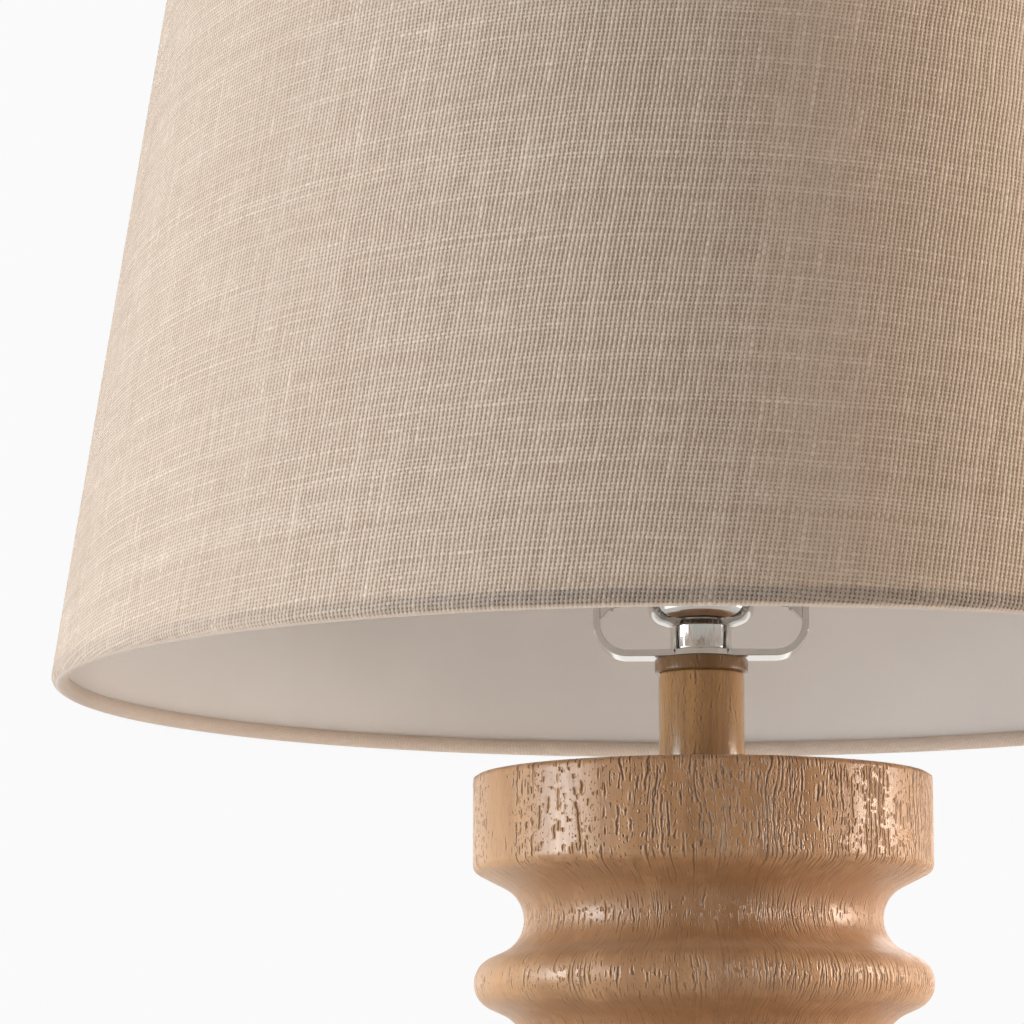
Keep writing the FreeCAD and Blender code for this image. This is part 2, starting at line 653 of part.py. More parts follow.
def saddle_gasket():
    return turned("saddle_gasket",
                  box("washer_bore", "collar_top", "gasket_radius", "saddle_bottom"))


# --------------------------------------------------------------------- saddle and harp
def harp_saddle():
    """A flat strip bent to a U, with an eye for the rod and a folded gutter on each arm."""
    body = new_body("harp_saddle")
    strip = extrude(body, trace(sketch_on(body, "XZ_Plane", "strip"), [
        ("0", "saddle_bottom"), ("arm_outside - saddle_bend", "saddle_bottom"),
        ("arm_outside", "saddle_bottom + saddle_bend", "saddle_bend", 1),
        ("arm_outside", "arm_top"), ("arm_inside", "arm_top"),
        ("arm_inside", "saddle_bottom + saddle_bend"),
        ("arm_outside - saddle_bend", "saddle_top", "saddle_bend - strip_thickness", -1),
        ("0", "saddle_top")]), "strip_width", both=True)
    wings = extrude(body, trace(sketch_on(body, "XZ_Plane", "wings"), [
        ("arm_inside", "saddle_bottom + wing_start"), ("arm_inside", "arm_top"),
        ("arm_inside - wing_reach", "arm_top"),
        ("arm_inside - wing_reach", "saddle_bottom + wing_start + wing_run")]),
        "2 * gutter_half", both=True)
    channel = extrude(body, trace(sketch_on(body, "XZ_Plane", "channel"), box(
        "arm_inside - 2 * wing_reach", "leg_bottom", "arm_inside", "arm_top + wing_run")),
        "2 * leg_channel", "Pocket", both=True)
    sides = sketch_on(body, "YZ_Plane", "sides")
    for side in ("", "-"):
        trace(sides, [
            (f"{side}strip_width", "saddle_bottom + arm_taper_start"),
            (f"{side}strip_width", "arm_top + wing_run"),
            (f"{side}gutter_half", "arm_top + wing_run"), (f"{side}gutter_half", "ledge_level"),
            (f"{side}ledge_half_width", "ledge_level"),
            (f"{side}strip_width / 2", "saddle_bottom + arm_taper_start")])
    narrow = extrude(body, sides, "saddle_span", "Pocket", back=True)
    mirror(body, "other_arm", [strip, wings, channel, narrow])
    extrude(body, ring(sketch_on(body, "XY_Plane", "eye", "saddle_bottom"),
                       "0", "0", "eye_radius"), "strip_thickness")
    extrude(body, ring(sketch_on(body, "XY_Plane", "hole", "saddle_bottom"),
                       "0", "0", "washer_bore"), "strip_thickness", "Pocket", back=True)
    return body


def harp_wire():
    """Up one leg, out over two bends, round the crown and down again."""
    body = new_body("harp_wire")
    reach = "leg_offset + harp_shoulder * (1 - cos(shoulder_turn))"
    right = [("leg_offset", "leg_bottom"), ("leg_offset", "leg_top"),
             (reach, "leg_top + shoulder_rise", "harp_shoulder", -1),
             ("harp_half_width", "shoulder_top", "harp_shoulder", 1),
             ("harp_half_width", "crown_spring"),
             ("0", "crown_line", "harp_half_width", 1)]
    left = [("-harp_half_width", "crown_spring", "harp_half_width", 1),
            ("-harp_half_width", "shoulder_top"),
            (f"-({reach})", "leg_top + shoulder_rise", "harp_shoulder", 1),
            ("-leg_offset", "leg_top", "harp_shoulder", -1),
            ("-leg_offset", "leg_bottom")]
    path = trace(sketch_on(body, "XZ_Plane", "path"), right + left, closed=False)
    sweep(body, ring(sketch_on(body, "XY_Plane", "wire", "leg_bottom"),
                     "leg_offset", "0", "harp_wire_radius"), path)
    return body


def harp_stud(wire):
    """Boss riveted round the wire, seat for the shade and threaded stud, in one."""
    blank = turned("stud_blank", [
        ("0", "crown_top - 2 * harp_wire_radius - boss_skirt"),
        ("boss_radius", "crown_top - 2 * harp_wire_radius - boss_skirt"),
        ("boss_radius", "crown_top"), ("seat_radius", "crown_top"),
        ("seat_radius", "seat_top"), ("stud_radius", "seat_top"),
        ("stud_radius", "stud_top"), ("0", "stud_top")])
    stud = document.addObject("Part::Cut", "harp_stud")
    stud.Base, stud.Tool = blank, wire
    return stud


def ferrule(label, side):
    lip_bore = "harp_wire_radius + ferrule_clearance"
    outside = "ferrule_bore + ferrule_wall"
    body = turned(label, [
        ("ferrule_bore", "0"), (outside, "0"), (outside, "ferrule_length - ferrule_lip"),
        (f"{outside} - ferrule_lip", "ferrule_length", "ferrule_lip", 1),
        (lip_bore, "ferrule_length"), (lip_bore, "ferrule_length - ferrule_lip"),
        ("ferrule_bore", "ferrule_length - ferrule_lip")])
    return lay(body, 0, across=f"{side}leg_offset", level="ledge_level")


# ----------------------------------------------------------------------------- socket
def socket_cap():
    """Hub on the rod, bell, and a wider mouth that the shell snaps into."""
    slope_gap = "cap_wall / cos(bell_slope * 1 deg)"
    inner_bore = "rod_radius + thread_fit"
    rise = "tan(bell_slope * 1 deg)"
    inner_round = "bell_round - cap_wall"
    body = turned("socket_cap", [
        (inner_bore, "saddle_top"), ("hub_radius - hub_chamfer", "saddle_top"),
        ("hub_radius", "saddle_top + hub_chamfer"), ("hub_radius", "hub_top"),
        ("bell_touch", "bell_level - bell_round * cos(bell_slope * 1 deg)"),
        ("bell_radius", "bell_level", "bell_round", 1),
        ("bell_radius", "bell_step"), ("mouth_outside", "bell_step"),
        ("mouth_outside", "cap_mouth"), ("mouth_inside", "cap_mouth"),
        ("mouth_inside", "shell_bottom"), ("bell_inside", "shell_bottom"),
        ("bell_inside", "bell_level"),
        ("bell_touch - cap_wall * sin(bell_slope * 1 deg)",
         f"bell_level - ({inner_round}) * cos(bell_slope * 1 deg)", inner_round, -1),
        (inner_bore, f"hub_top + {slope_gap} + ({inner_bore} - hub_radius) * {rise}")])
    tapped = ring(sketch_on(body, "XZ_Plane", "tapped_hole"), "0", "saddle_top + hub_height / 2",
                  "grub_radius + thread_fit")
    extrude(body, tapped, "bell_radius", "Pocket")
    return body


def cap_grub_screw():
    body = turned("cap_grub_screw",
                  box("0", "rod_radius", "grub_radius", "rod_radius + grub_length"))
    slot = trace(sketch_on(body, "XZ_Plane", "slot"), box(
        "-screw_slot / 2", "rod_radius + grub_length - screw_slot",
        "screw_slot / 2", "rod_radius + grub_length"))
    extrude(body, slot, "4 * grub_radius", "Pocket", both=True)
    return lay(body, TO_THE_BACK, level="saddle_top + hub_height / 2")


def shaft_slot(body, low):
    """Slot with a rounded top that lets the switch shaft out at the front."""
    half = "shaft_radius + slot_clearance"
    slot = trace(sketch_on(body, "XZ_Plane", "shaft_slot"), [
        (f"-({half})", f"{low} - cap_wall"), (half, f"{low} - cap_wall"), (half, "shaft_level"),
        ("0", f"shaft_level + {half}", half, 1), (f"-({half})", "shaft_level", half, 1)])
    extrude(body, slot, "mouth_outside", "Pocket", back=True)
    return body


def socket_shell():
    bead = "shell_outside + rim_bead"
    body = turned("socket_shell", [
        ("shell_inside", "shell_bottom"), ("shell_outside", "shell_bottom"),
        ("shell_outside", "shell_top - 2 * rim_bead"),
        (bead, "shell_top - rim_bead", "rim_bead", 1),
        ("shell_outside", "shell_top", "rim_bead", 1), ("shell_inside", "shell_top")])
    return shaft_slot(body, "shell_bottom")


def fibre_sleeve():
    body = turned("fibre_sleeve",
                  box("sleeve_inside", "flange_top", "sleeve_outside", "sleeve_top"))
    return shaft_slot(body, "flange_top")


def socket_core():
    """Moulded core: a flange on the cap's ledge, a bore for the switch, two terminals."""
    body = turned("socket_core", [
        ("0", "core_bottom"), ("core_radius", "core_bottom"), ("core_radius", "shell_bottom"),
        ("sleeve_outside", "shell_bottom"), ("sleeve_outside", "flange_top"),
        ("core_radius", "flange_top"), ("core_radius", "core_top"), ("0", "core_top")])
    bore = ring(sketch_on(body, "XZ_Plane", "switch_bore", "rotor_end - rotor_clearance"),
                "0", "shaft_level", "rotor_radius + rotor_clearance")
    extrude(body, bore, "sleeve_outside", "Pocket", back=True)
    pocket = extrude(body, trace(sketch_on(body, "XZ_Plane", "terminal"), box(
        "terminal_face", "core_bottom - core_web",
        "2 * core_radius", "core_bottom + terminal_height")),
        "terminal_width", "Pocket", both=True)
    hole = extrude(body, ring(sketch_on(
        body, "YZ_Plane", "screw_hole", "terminal_face - screw_shank_length"), "0",
        "core_bottom + terminal_level", "screw_shank_radius + thread_fit"),
        "screw_shank_length", "Pocket", back=True)
    mirror(body, "left_terminal", [pocket, hole])
    return body


def terminal_screws():
    """Two slotted binding screws, one at each side of the core."""
    body = new_body("terminal_screws")
    level = "core_bottom + terminal_level"
    head = extrude(body, ring(sketch_on(body, "YZ_Plane", "head", "terminal_face"),
                              "0", level, "screw_head_radius"), "screw_head_thickness")
    shank = extrude(body, ring(sketch_on(body, "YZ_Plane", "shank", "terminal_face"),
                               "0", level, "screw_shank_radius"), "screw_shank_length", back=True)
    outside = "terminal_face + screw_head_thickness"
    slot = extrude(body, trace(sketch_on(body, "XZ_Plane", "slot"), box(
        f"{outside} - screw_slot", f"{level} - screw_slot / 2",
        f"{outside} + screw_slot", f"{level} + screw_slot / 2")),
        "4 * screw_head_radius", "Pocket", both=True)
    mirror(body, "left_screw", [head, shank, slot])
    return body


def screw_shell():
    return turned("screw_shell", [
        ("screw_shell_hole", "core_top"), ("screw_shell_outside", "core_top"),
        ("screw_shell_outside", "screw_shell_top"), ("screw_shell_inside", "screw_shell_top"),
        ("screw_shell_inside", "core_top + screw_shell_wall"),
        ("screw_shell_hole", "core_top + screw_shell_wall")])


def centre_contact():
    """Springy brass tongue: a foot on the core, a slope and a tip under the bulb."""
    body = new_body("centre_contact")
    foot_end, bend = "screw_shell_hole - 2 * contact_thickness", "contact_width / 2"
    top = "core_top + contact_rise"
    outline = trace(sketch_on(body, "XZ_Plane", "side"), [
        (bend, "core_top"), (foot_end, "core_top"),
        (foot_end, "core_top + contact_thickness"),
        (f"{bend} + contact_thickness", "core_top + contact_thickness"),
        (f"-{bend} + 2 * contact_thickness", top), ("-tip_radius", top),
        ("-tip_radius", f"{top} - contact_thickness"),
        (f"-{bend} + contact_thickness", f"{top} - contact_thickness")])
    extrude(body, outline, "contact_width", both=True)
    return body


# ----------------------------------------------------------------------------- switch
def switch_rotor():
    """Drum that carries the moving contact, with four flats for its clicks."""
    body = turned("switch_rotor", box("shaft_radius + shaft_clearance", "rotor_end",
                                      "rotor_radius", "rotor_start"))
    flat = extrude(body, trace(sketch_on(body, "XY_Plane", "flat", "rotor_end"), box(
        "rotor_radius - rotor_flat", "-rotor_radius", "2 * rotor_radius", "rotor_radius")),
        "rotor_length / 2", "Pocket", back=True)
    repeat(body, "flats", [flat], "rotor_flat_count")
    return lay(body, TO_THE_FRONT, level="shaft_level")


def switch_shaft():
    body = turned("switch_shaft",
                  box("0", "rotor_end", "shaft_radius", "knob_start + knob_socket"))
    return lay(body, TO_THE_FRONT, level="shaft_level")


def switch_knob():
    bore, end = "shaft_radius + shaft_clearance", "knob_start + knob_length"
    body = turned("switch_knob", [
        (bore, "knob_start"), ("knob_radius", "knob_start"), ("knob_radius", f"{end} - knob_round"),
        ("knob_radius - knob_round", end, "knob_round", 1), ("0", end),
        ("0", "knob_start + knob_socket + shaft_clearance"),
        (bore, "knob_start + knob_socket + shaft_clearance")])
    flute = extrude(body, ring(sketch_on(body, "XY_Plane", "flute", "knob_start + knob_round"),
                               "knob_radius + flute_radius / 2", "0", "flute_radius"),
                    "knob_length", "Pocket", back=True)
    repeat(body, "flutes", [flute], "flute_count")
    return lay(body, TO_THE_FRONT, level="shaft_level")


# ------------------------------------------------------------------------------- bulb
def bulb_tip():
    return turned("bulb_tip", [
        ("0", "bulb_bottom"), ("tip_radius - tip_height / 2", "bulb_bottom"),
        ("tip_radius", "bulb_bottom + tip_height / 2", "tip_height / 2", 1),
        ("tip_radius", "insulator_bottom"), ("0", "insulator_bottom")])


def bulb_insulator():
    return turned("bulb_insulator", [
        ("0", "insulator_bottom"), ("tip_radius", "insulator_bottom"),
        ("insulator_radius", "base_bottom"), ("0", "base_bottom")])


def bulb_base():
    return turned("bulb_base", [
        ("base_hole", "base_bottom"), ("bulb_base_radius - base_wall", "base_bottom"),
        ("bulb_base_radius", "base_bottom + base_wall", "base_wall", 1),
        ("bulb_base_radius", "base_top"), ("bulb_base_radius - base_wall", "base_top"),
        ("bulb_base_radius - base_wall", "base_bottom + base_wall"),
        ("base_hole", "base_bottom + base_wall")])


def bulb_glass():
    """Frosted envelope: a spigot in the base, a neck, a hollow curve and a round head."""
    bend_level = "envelope_level - bend_drop"
    touch = "envelope_radius / (envelope_radius + envelope_bend)"
    inner = "envelope_radius - envelope_wall"
    outer_bend = "envelope_bend + envelope_wall"
    shrink = f"({inner}) / (envelope_radius + envelope_bend)"
    return turned("bulb_glass", [
        ("envelope_spigot - envelope_wall", "base_top - envelope_inset"),
        ("envelope_spigot", "base_top - envelope_inset"), ("envelope_spigot", "base_top"),
        ("envelope_neck", "base_top"), ("envelope_neck", bend_level),
        (f"bend_middle * {touch}", f"envelope_level - bend_drop * {touch}", "envelope_bend", -1),
        ("envelope_radius", "envelope_level", "envelope_radius", 1),
        ("0", "envelope_level + envelope_radius", "envelope_radius", 1),
        ("0", f"envelope_level + {inner}"),
        (inner, "envelope_level", inner, -1),
        (f"bend_middle * {shrink}", f"envelope_level - bend_drop * {shrink}", inner, -1),
        ("envelope_neck - envelope_wall", bend_level, outer_bend, 1),
        ("envelope_neck - envelope_wall", "base_top + envelope_wall"),
        ("envelope_spigot - envelope_wall", "base_top + envelope_wall")])


# ------------------------------------------------------------------------------ shade
def beside(ring_name, out, up):
    """A point of the shade's section, measured from a ring's middle square to the wall."""
    return (f"{ring_name}_ring_radius + ({out}) * cos(shade_lean) - ({up}) * sin(shade_lean)",
            f"{ring_name}_ring_level + ({out}) * sin(shade_lean) + ({up}) * cos(shade_lean)")


def shade_linen():
    """Conical wall whose two edges turn in round the wires and end against the liner."""
    outer_lip = "sqrt(hem_radius ^ 2 - lip_end ^ 2)"
    inner_lip = "sqrt(wire_channel ^ 2 - lip_end ^ 2)"
    outer, inner = ("hem_radius", 1), ("wire_channel", -1)
    body = turned("shade_linen", [
        beside("bottom", "hem_radius", "0") + outer, beside("top", "hem_radius", "0"),
        beside("top", "0", "hem_radius") + outer, beside("top", "-hem_radius", "0") + outer,
        beside("top", "lip_end", f"-{outer_lip}") + outer,
        beside("top", "lip_end", f"-{inner_lip}"),
        beside("top", "-wire_channel", "0") + inner, beside("top", "0", "wire_channel") + inner,
        beside("top", "wire_channel", "0") + inner, beside("bottom", "wire_channel", "0"),
        beside("bottom", "0", "-wire_channel") + inner,
        beside("bottom", "-wire_channel", "0") + inner,
        beside("bottom", "lip_end", inner_lip) + inner, beside("bottom", "lip_end", outer_lip),
        beside("bottom", "-hem_radius", "0") + outer,
        beside("bottom", "0", "-hem_radius") + outer])
    half = "(arm_radius + notch_clearance)"
    notch = trace(sketch_on(body, "XZ_Plane", "notch", "glue_line * 2 - top_ring_radius"), box(
        f"-{half}", "top_ring_level - 2 * hem_radius", half, "top_ring_level + 2 * hem_radius"))
    cut = extrude(body, notch, "2 * hem_radius", "Pocket", back=True)
    repeat(body, "notches", [cut], "arm_count")
    return body


def shade_liner():
    return turned("shade_liner", [
        beside("bottom", "liner_inner", "liner_start"),
        beside("bottom", "liner_outer", "liner_start"),
        beside("top", "liner_outer", "-liner_start"),
        beside("top", "liner_inner", "-liner_start")])


def wire_ring(label, name):
    torus = document.addObject("Part::Torus", label)
    torus.setExpression("Radius1", bound(f"{name}_ring_radius"))
    torus.setExpression("Radius2", bound("ring_wire_radius"))
    torus.setExpression(".Placement.Base.z", bound(f"{name}_ring_level"))
    return torus


def spider_arms():
    """Wires that run level from the washer and rise to the upper ring."""
    body = new_body("spider_arms")
    rise, run = "sin(arm_angle * 1 deg)", "cos(arm_angle * 1 deg)"
    path = trace(sketch_on(body, "YZ_Plane", "path"), [
        ("arm_start", "arm_level"), ("arm_corner - arm_cut", "arm_level"),
        (f"arm_corner + arm_cut * {run}", f"arm_level + arm_cut * {rise}", "arm_bend", 1),
        (f"top_ring_radius - arm_end * {run}", f"top_ring_level - arm_end * {rise}")],
        closed=False)
    arm = sweep(body, ring(sketch_on(body, "XZ_Plane", "wire", "-arm_start"),
                           "0", "arm_level", "arm_radius"), path)
    repeat(body, "all", [arm], "arm_count")
    return body


def fitter_washer():
    return turned("fitter_washer", box("fitter_hole", "seat_top", "fitter_radius", "fitter_top"))


# ----------------------------------------------------------------------------- finial
def finial_insert():
    return turned("finial_insert", box("stud_radius + stud_clearance", "fitter_top",
                                       "insert_radius", "fitter_top + insert_height"))


def finial_knob():
    return turned("finial_knob", [
        ("finial_bore", "fitter_top"), ("finial_flange", "fitter_top"),
        ("finial_flange", "fitter_top + finial_flange_height"),
        ("finial_neck", "fitter_top + finial_flange_height + finial_slope"),
        ("finial_neck", "ball_level - ball_drop"),
        ("finial_ball", "ball_level", "finial_ball", 1),
        ("0", "fitter_top + finial_height", "finial_ball", 1),
        ("0", "finial_cavity"), ("finial_bore", "finial_cavity")])


# ------------------------------------------------------------------ building and export
wire = harp_wire()
pieces = [
    felt_pad(), foot(), base_weight(), base_washer(), lock_washer(), base_nut(), cord_bushing(),
    column(), neck(), neck_collar(), saddle_gasket(), threaded_rod(),
    harp_saddle(), wire, harp_stud(wire), ferrule("ferrule_left", "-"), ferrule("ferrule_right", ""),
    socket_cap(), cap_grub_screw(), socket_shell(), fibre_sleeve(), socket_core(),
    terminal_screws(), screw_shell(), centre_contact(),
    switch_rotor(), switch_shaft(), switch_knob(),
    bulb_tip(), bulb_insulator(), bulb_base(), bulb_glass(),
    shade_linen(), shade_liner(), wire_ring("bottom_ring", "bottom"), wire_ring("top_ring", "top"),
    spider_arms(), fitter_washer(), finial_insert(), finial_knob(),
]
document.recompute()

faults = [item.Label for item in document.Objects if {"Invalid", "Error"} & set(item.State)]
faults += [piece.Label for piece in pieces if piece.Shape.isNull() or not piece.Shape.isValid()]
if faults:
    raise SystemExit("not sound: " + ", ".join(faults))

os.makedirs("parts", exist_ok=True)
for piece in pieces:
    piece.Shape.exportStep(f"parts/{piece.Label}.step")
    room = piece.Shape.BoundBox
    print(f"{piece.Label:16} {piece.Shape.Volume:12.1f} mm3  solids {len(piece.Shape.Solids)}"
          f"  z {room.ZMin:.2f} to {room.ZMax:.2f}")
loose = [item.Name for item in document.Objects
         if item.TypeId == "Sketcher::SketchObject" and not item.FullyConstrained]
print("sketches not fully constrained:", loose)
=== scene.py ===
import math

import bmesh
import bpy
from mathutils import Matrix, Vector


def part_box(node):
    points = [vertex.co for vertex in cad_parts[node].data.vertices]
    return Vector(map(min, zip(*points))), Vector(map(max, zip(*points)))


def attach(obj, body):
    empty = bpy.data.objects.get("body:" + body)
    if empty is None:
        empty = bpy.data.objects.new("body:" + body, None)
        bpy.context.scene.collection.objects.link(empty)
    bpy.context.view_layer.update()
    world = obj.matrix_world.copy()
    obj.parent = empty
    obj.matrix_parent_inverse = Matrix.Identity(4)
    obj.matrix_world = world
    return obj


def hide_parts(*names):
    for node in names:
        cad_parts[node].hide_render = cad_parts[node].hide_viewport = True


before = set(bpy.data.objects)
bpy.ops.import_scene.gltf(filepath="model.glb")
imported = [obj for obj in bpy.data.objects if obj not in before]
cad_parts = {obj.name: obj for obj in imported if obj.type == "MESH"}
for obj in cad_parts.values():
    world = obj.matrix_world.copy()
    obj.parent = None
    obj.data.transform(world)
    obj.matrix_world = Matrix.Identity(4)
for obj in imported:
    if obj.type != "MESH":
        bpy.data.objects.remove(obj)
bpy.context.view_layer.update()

# Studio. The lamp stands on a pale floor in soft daylight from the left, and the camera looks
# up a little at the neck, the saddle and the lower edge of the shade.
FLOOR_REACH, WHITE_WALL = 4.0, (0.956, 0.956, 0.956)
COOL, WARM, BOUNCED = (0.73, 0.86, 1.0), (1.0, 0.95, 0.90), (1.0, 0.96, 0.92)
scene = bpy.context.scene
scene.view_settings.view_transform = "Standard"

lens = bpy.data.cameras.new("camera")
lens.lens, lens.sensor_width = 140.6, 36.0
lens.clip_end = 30.0
camera = bpy.data.objects.new("camera", lens)
camera.location = (0.0, -1.1711, 0.23624)
camera.rotation_euler = (math.radians(99.23), 0.0, math.radians(2.73))
scene.collection.objects.link(camera)
scene.camera = camera


class Wire:
    """One output of a node. Signs between wires and numbers add Math nodes to its tree."""

    def __init__(self, socket):
        self.socket = socket
        self.tree = socket.id_data

    def math(self, operation, *others, clamp=False):
        return add(self.tree, "ShaderNodeMath", {"operation": operation, "use_clamp": clamp},
                   {0: self, **{k + 1: other for k, other in enumerate(others)}})

    def __add__(self, other):
        return self.math("ADD", other)

    def __sub__(self, other):
        return self.math("SUBTRACT", other)

    def __rsub__(self, other):
        return add(self.tree, "ShaderNodeMath", {"operation": "SUBTRACT"}, {0: other, 1: self})

    def __mul__(self, other):
        return self.math("MULTIPLY", other)

    def __truediv__(self, other):
        return self.math("DIVIDE", other)

    def __pow__(self, other):
        return self.math("POWER", other)

    def __lt__(self, other):
        return self.math("LESS_THAN", other)

    def __gt__(self, other):
        return self.math("GREATER_THAN", other)

    __radd__, __rmul__ = __add__, __mul__

    def clamped(self):
        """The same value, kept between 0 and 1."""
        return self.math("MULTIPLY", 1.0, clamp=True)

    def part(self, name):
        """Another output of the same node."""
        return Wire(self.socket.node.outputs[name])

    def step(self, low, high):
        """0 below low, 1 above high, smooth between."""
        return add(self.tree, "ShaderNodeMapRange", {"interpolation_type": "SMOOTHSTEP"},
                   {"Value": self, "From Min": low, "From Max": high})


def put(socket, value):
    """Sets a socket to a number, a place or a colour, or links a wire to it."""
    if isinstance(value, Wire):
        value.tree.links.new(value.socket, socket)
    elif socket.type == "RGBA":
        socket.default_value = (*value, 1.0)
    else:
        socket.default_value = value


def add(tree, kind, settings=None, inputs=None, output=0):
    """A node with its settings, then its inputs by name or place: numbers, colours or wires."""
    node = tree.nodes.new(kind)
    for name, value in (settings or {}).items():
        setattr(node, name, value)
    for key, value in (inputs or {}).items():
        put(node.inputs[key], value)
    return Wire(node.outputs[output])


def tinted(tree, factor, first, second):
    """Two colours, or wires of colour, mixed by a factor."""
    return add(tree, "ShaderNodeMix", {"data_type": "RGBA"}, {0: factor, 6: first, 7: second},
               output=2)


def either(tree, factor, first, second):
    """Two shaders mixed by a factor."""
    return add(tree, "ShaderNodeMixShader", None, {0: factor, 1: first, 2: second})


def surroundings(tree, light, strength):
    """A studio: even light, white walls to the camera, and in mirrors dimmer towards the front."""
    path = add(tree, "ShaderNodeLightPath")
    facing = add(tree, "ShaderNodeSeparateXYZ", None,
                 {0: add(tree, "ShaderNodeTexCoord").part("Generated")}).part("Y")
    mirrored = tinted(tree, facing.step(-0.90, -0.10), (0.10, 0.096, 0.09), (0.92, 0.91, 0.90))
    cast = tinted(tree, facing.step(-0.95, 0.20), tuple(0.15 * c for c in light), light)
    even, walls, white = (
        add(tree, "ShaderNodeBackground", None, {"Color": colour, "Strength": power})
        for colour, power in ((cast, strength), (mirrored, 1.0), (WHITE_WALL, 1.0)))
    seen = path.part("Is Camera Ray").math("MAXIMUM", path.part("Is Transmission Ray"))
    return either(tree, seen, either(tree, path.part("Is Glossy Ray"), even, walls), white)


sky = bpy.data.worlds.new("sky")
sky.use_nodes = True
sky.node_tree.nodes.clear()
put(sky.node_tree.nodes.new("ShaderNodeOutputWorld").inputs["Surface"],
    surroundings(sky.node_tree, (1.0, 0.91, 0.80), 0.21))
scene.world = sky


def softbox(name, place, target, width, height, power, colour):
    """A soft rectangular lamp at a place, turned to a target."""
    lamp = bpy.data.lights.new(name, "AREA")
    lamp.shape, lamp.size, lamp.size_y = "RECTANGLE", width, height
    lamp.energy, lamp.color = power, colour
    holder = bpy.data.objects.new(name, lamp)
    holder.location = place
    holder.rotation_euler = (Vector(target) - Vector(place)).to_track_quat("-Z", "Y").to_euler()
    scene.collection.objects.link(holder)


softbox("window_left", (-1.90, -0.62, 0.72), (0, 0, 0.40), 0.8, 1.3, 46.0, COOL)
softbox("panel_right", (1.95, 0.10, 0.66), (0, 0, 0.36), 0.8, 1.2, 48.0, WARM)
softbox("front_top", (-0.35, -1.50, 1.55), (0, -0.1, 0.50), 0.9, 0.6, 3.8, WARM)
softbox("bounce_left", (-0.95, -0.42, 0.02), (0, 0.05, 0.55), 0.8, 0.5, 1.8, BOUNCED)
softbox("bounce_back", (0.0, 0.95, 0.02), (0, -0.1, 0.50), 2.0, 1.2, 3.0, BOUNCED)
softbox("back_top", (0.40, 1.70, 1.30), (0, 0, 0.40), 0.9, 0.9, 14.0, BOUNCED)


def principled(material):
    """The shader that gives a material its looks."""
    return material.node_tree.nodes["Principled BSDF"]


def finish(name, **looks):
    """A new Principled material. Each look names a socket of its shader, in small letters."""
    material = bpy.data.materials.new(name)
    material.use_nodes = True
    feed(material, **looks)
    return material


def feed(material, **looks):
    """Sets the sockets of a material's shader, or links wires to them."""
    for key, value in looks.items():
        label = "IOR" if key == "ior" else key.replace("_", " ").title()
        put(principled(material).inputs[label], value)


def washed_floor():
    """A pale floor that keeps the shadow near the lamp and fades into the white wall."""
    material = finish("pale_floor", base_color=(0.86, 0.86, 0.85), roughness=0.8)
    tree = material.node_tree
    away = add(tree, "ShaderNodeVectorMath", {"operation": "LENGTH"},
               {0: add(tree, "ShaderNodeTexCoord").part("Object")}, output=1)
    ray = add(tree, "ShaderNodeLightPath")
    even, dimmed = (add(tree, "ShaderNodeEmission", None, {"Color": colour})
                    for colour in ((0.93, 0.93, 0.925), (0.56, 0.54, 0.51)))
    board = Wire(principled(material).outputs[0])
    mirrored = either(tree, ray.part("Is Glossy Ray") * 0.85, board, dimmed)
    fading = ray.part("Is Camera Ray") * (0.55 + 0.45 * away.step(0.25, 1.2))
    put(tree.nodes["Material Output"].inputs["Surface"], either(tree, fading, mirrored, even))
    return material


floor_mesh = bpy.data.meshes.new("floor")
floor_mesh.from_pydata([(x * FLOOR_REACH, y * FLOOR_REACH, 0)
                        for x, y in ((-1, -1), (1, -1), (1, 1), (-1, 1))], [], [(0, 1, 2, 3)])
floor_mesh.materials.append(washed_floor())
floor = bpy.data.objects.new("floor", floor_mesh)
scene.collection.objects.link(floor)

# Foot and column. Two lengths of oak glued at the first hollow and turned as one: a thick
# disc, seven round beads with hollows between them, and a cap disc. The soft grain is brushed
# out before the satin lacquer, so the pores stand as grooves, long where the side is upright.
DISC_RADIUS, BEAD_REACH, BEAD_ROUND = 0.0672, 0.0669, 0.0080
COVE_REACH, COVE_ROUND, BEADS = 0.05235, 0.0105, 7
INNER_ROUND, OUTER_ROUND, LIP_RISE, CAP_THICKNESS = 0.0030, 0.0012, 0.01284, 0.02896
FOOT_TOP = 0.0340
COLUMN_RINGS, COLUMN_SIDES = 420, 200
MILLIMETRES = 1000.0

half_pitch = BEAD_ROUND + COVE_ROUND
bead_middle, cove_middle = BEAD_REACH - BEAD_ROUND, COVE_REACH + COVE_ROUND
flank = 2 * math.atan((cove_middle - bead_middle) / half_pitch)
lip_run, lip_drop = cove_middle - DISC_RADIUS + INNER_ROUND, LIP_RISE + INNER_ROUND
lip = math.atan(lip_run / lip_drop) + math.acos(
    (INNER_ROUND + COVE_ROUND) / math.hypot(lip_run, lip_drop))
split = FOOT_TOP + LIP_RISE
last_cove = split + 2 * half_pitch * BEADS
cap_top = last_cove + LIP_RISE + CAP_THICKNESS


def object_place(tree):
    """The place on the piece, as wires along X, Y and Z in metres."""
    place = add(tree, "ShaderNodeSeparateXYZ", None,
                {0: add(tree, "ShaderNodeTexCoord").part("Object")})
    return [place.part(axis) for axis in "XYZ"]


def relief(tree, height, depth):
    """A bump from a height of 0 to 1 that stands for a depth in metres."""
    return add(tree, "ShaderNodeBump", None, {"Strength": 1.0, "Distance": depth, "Height": height})


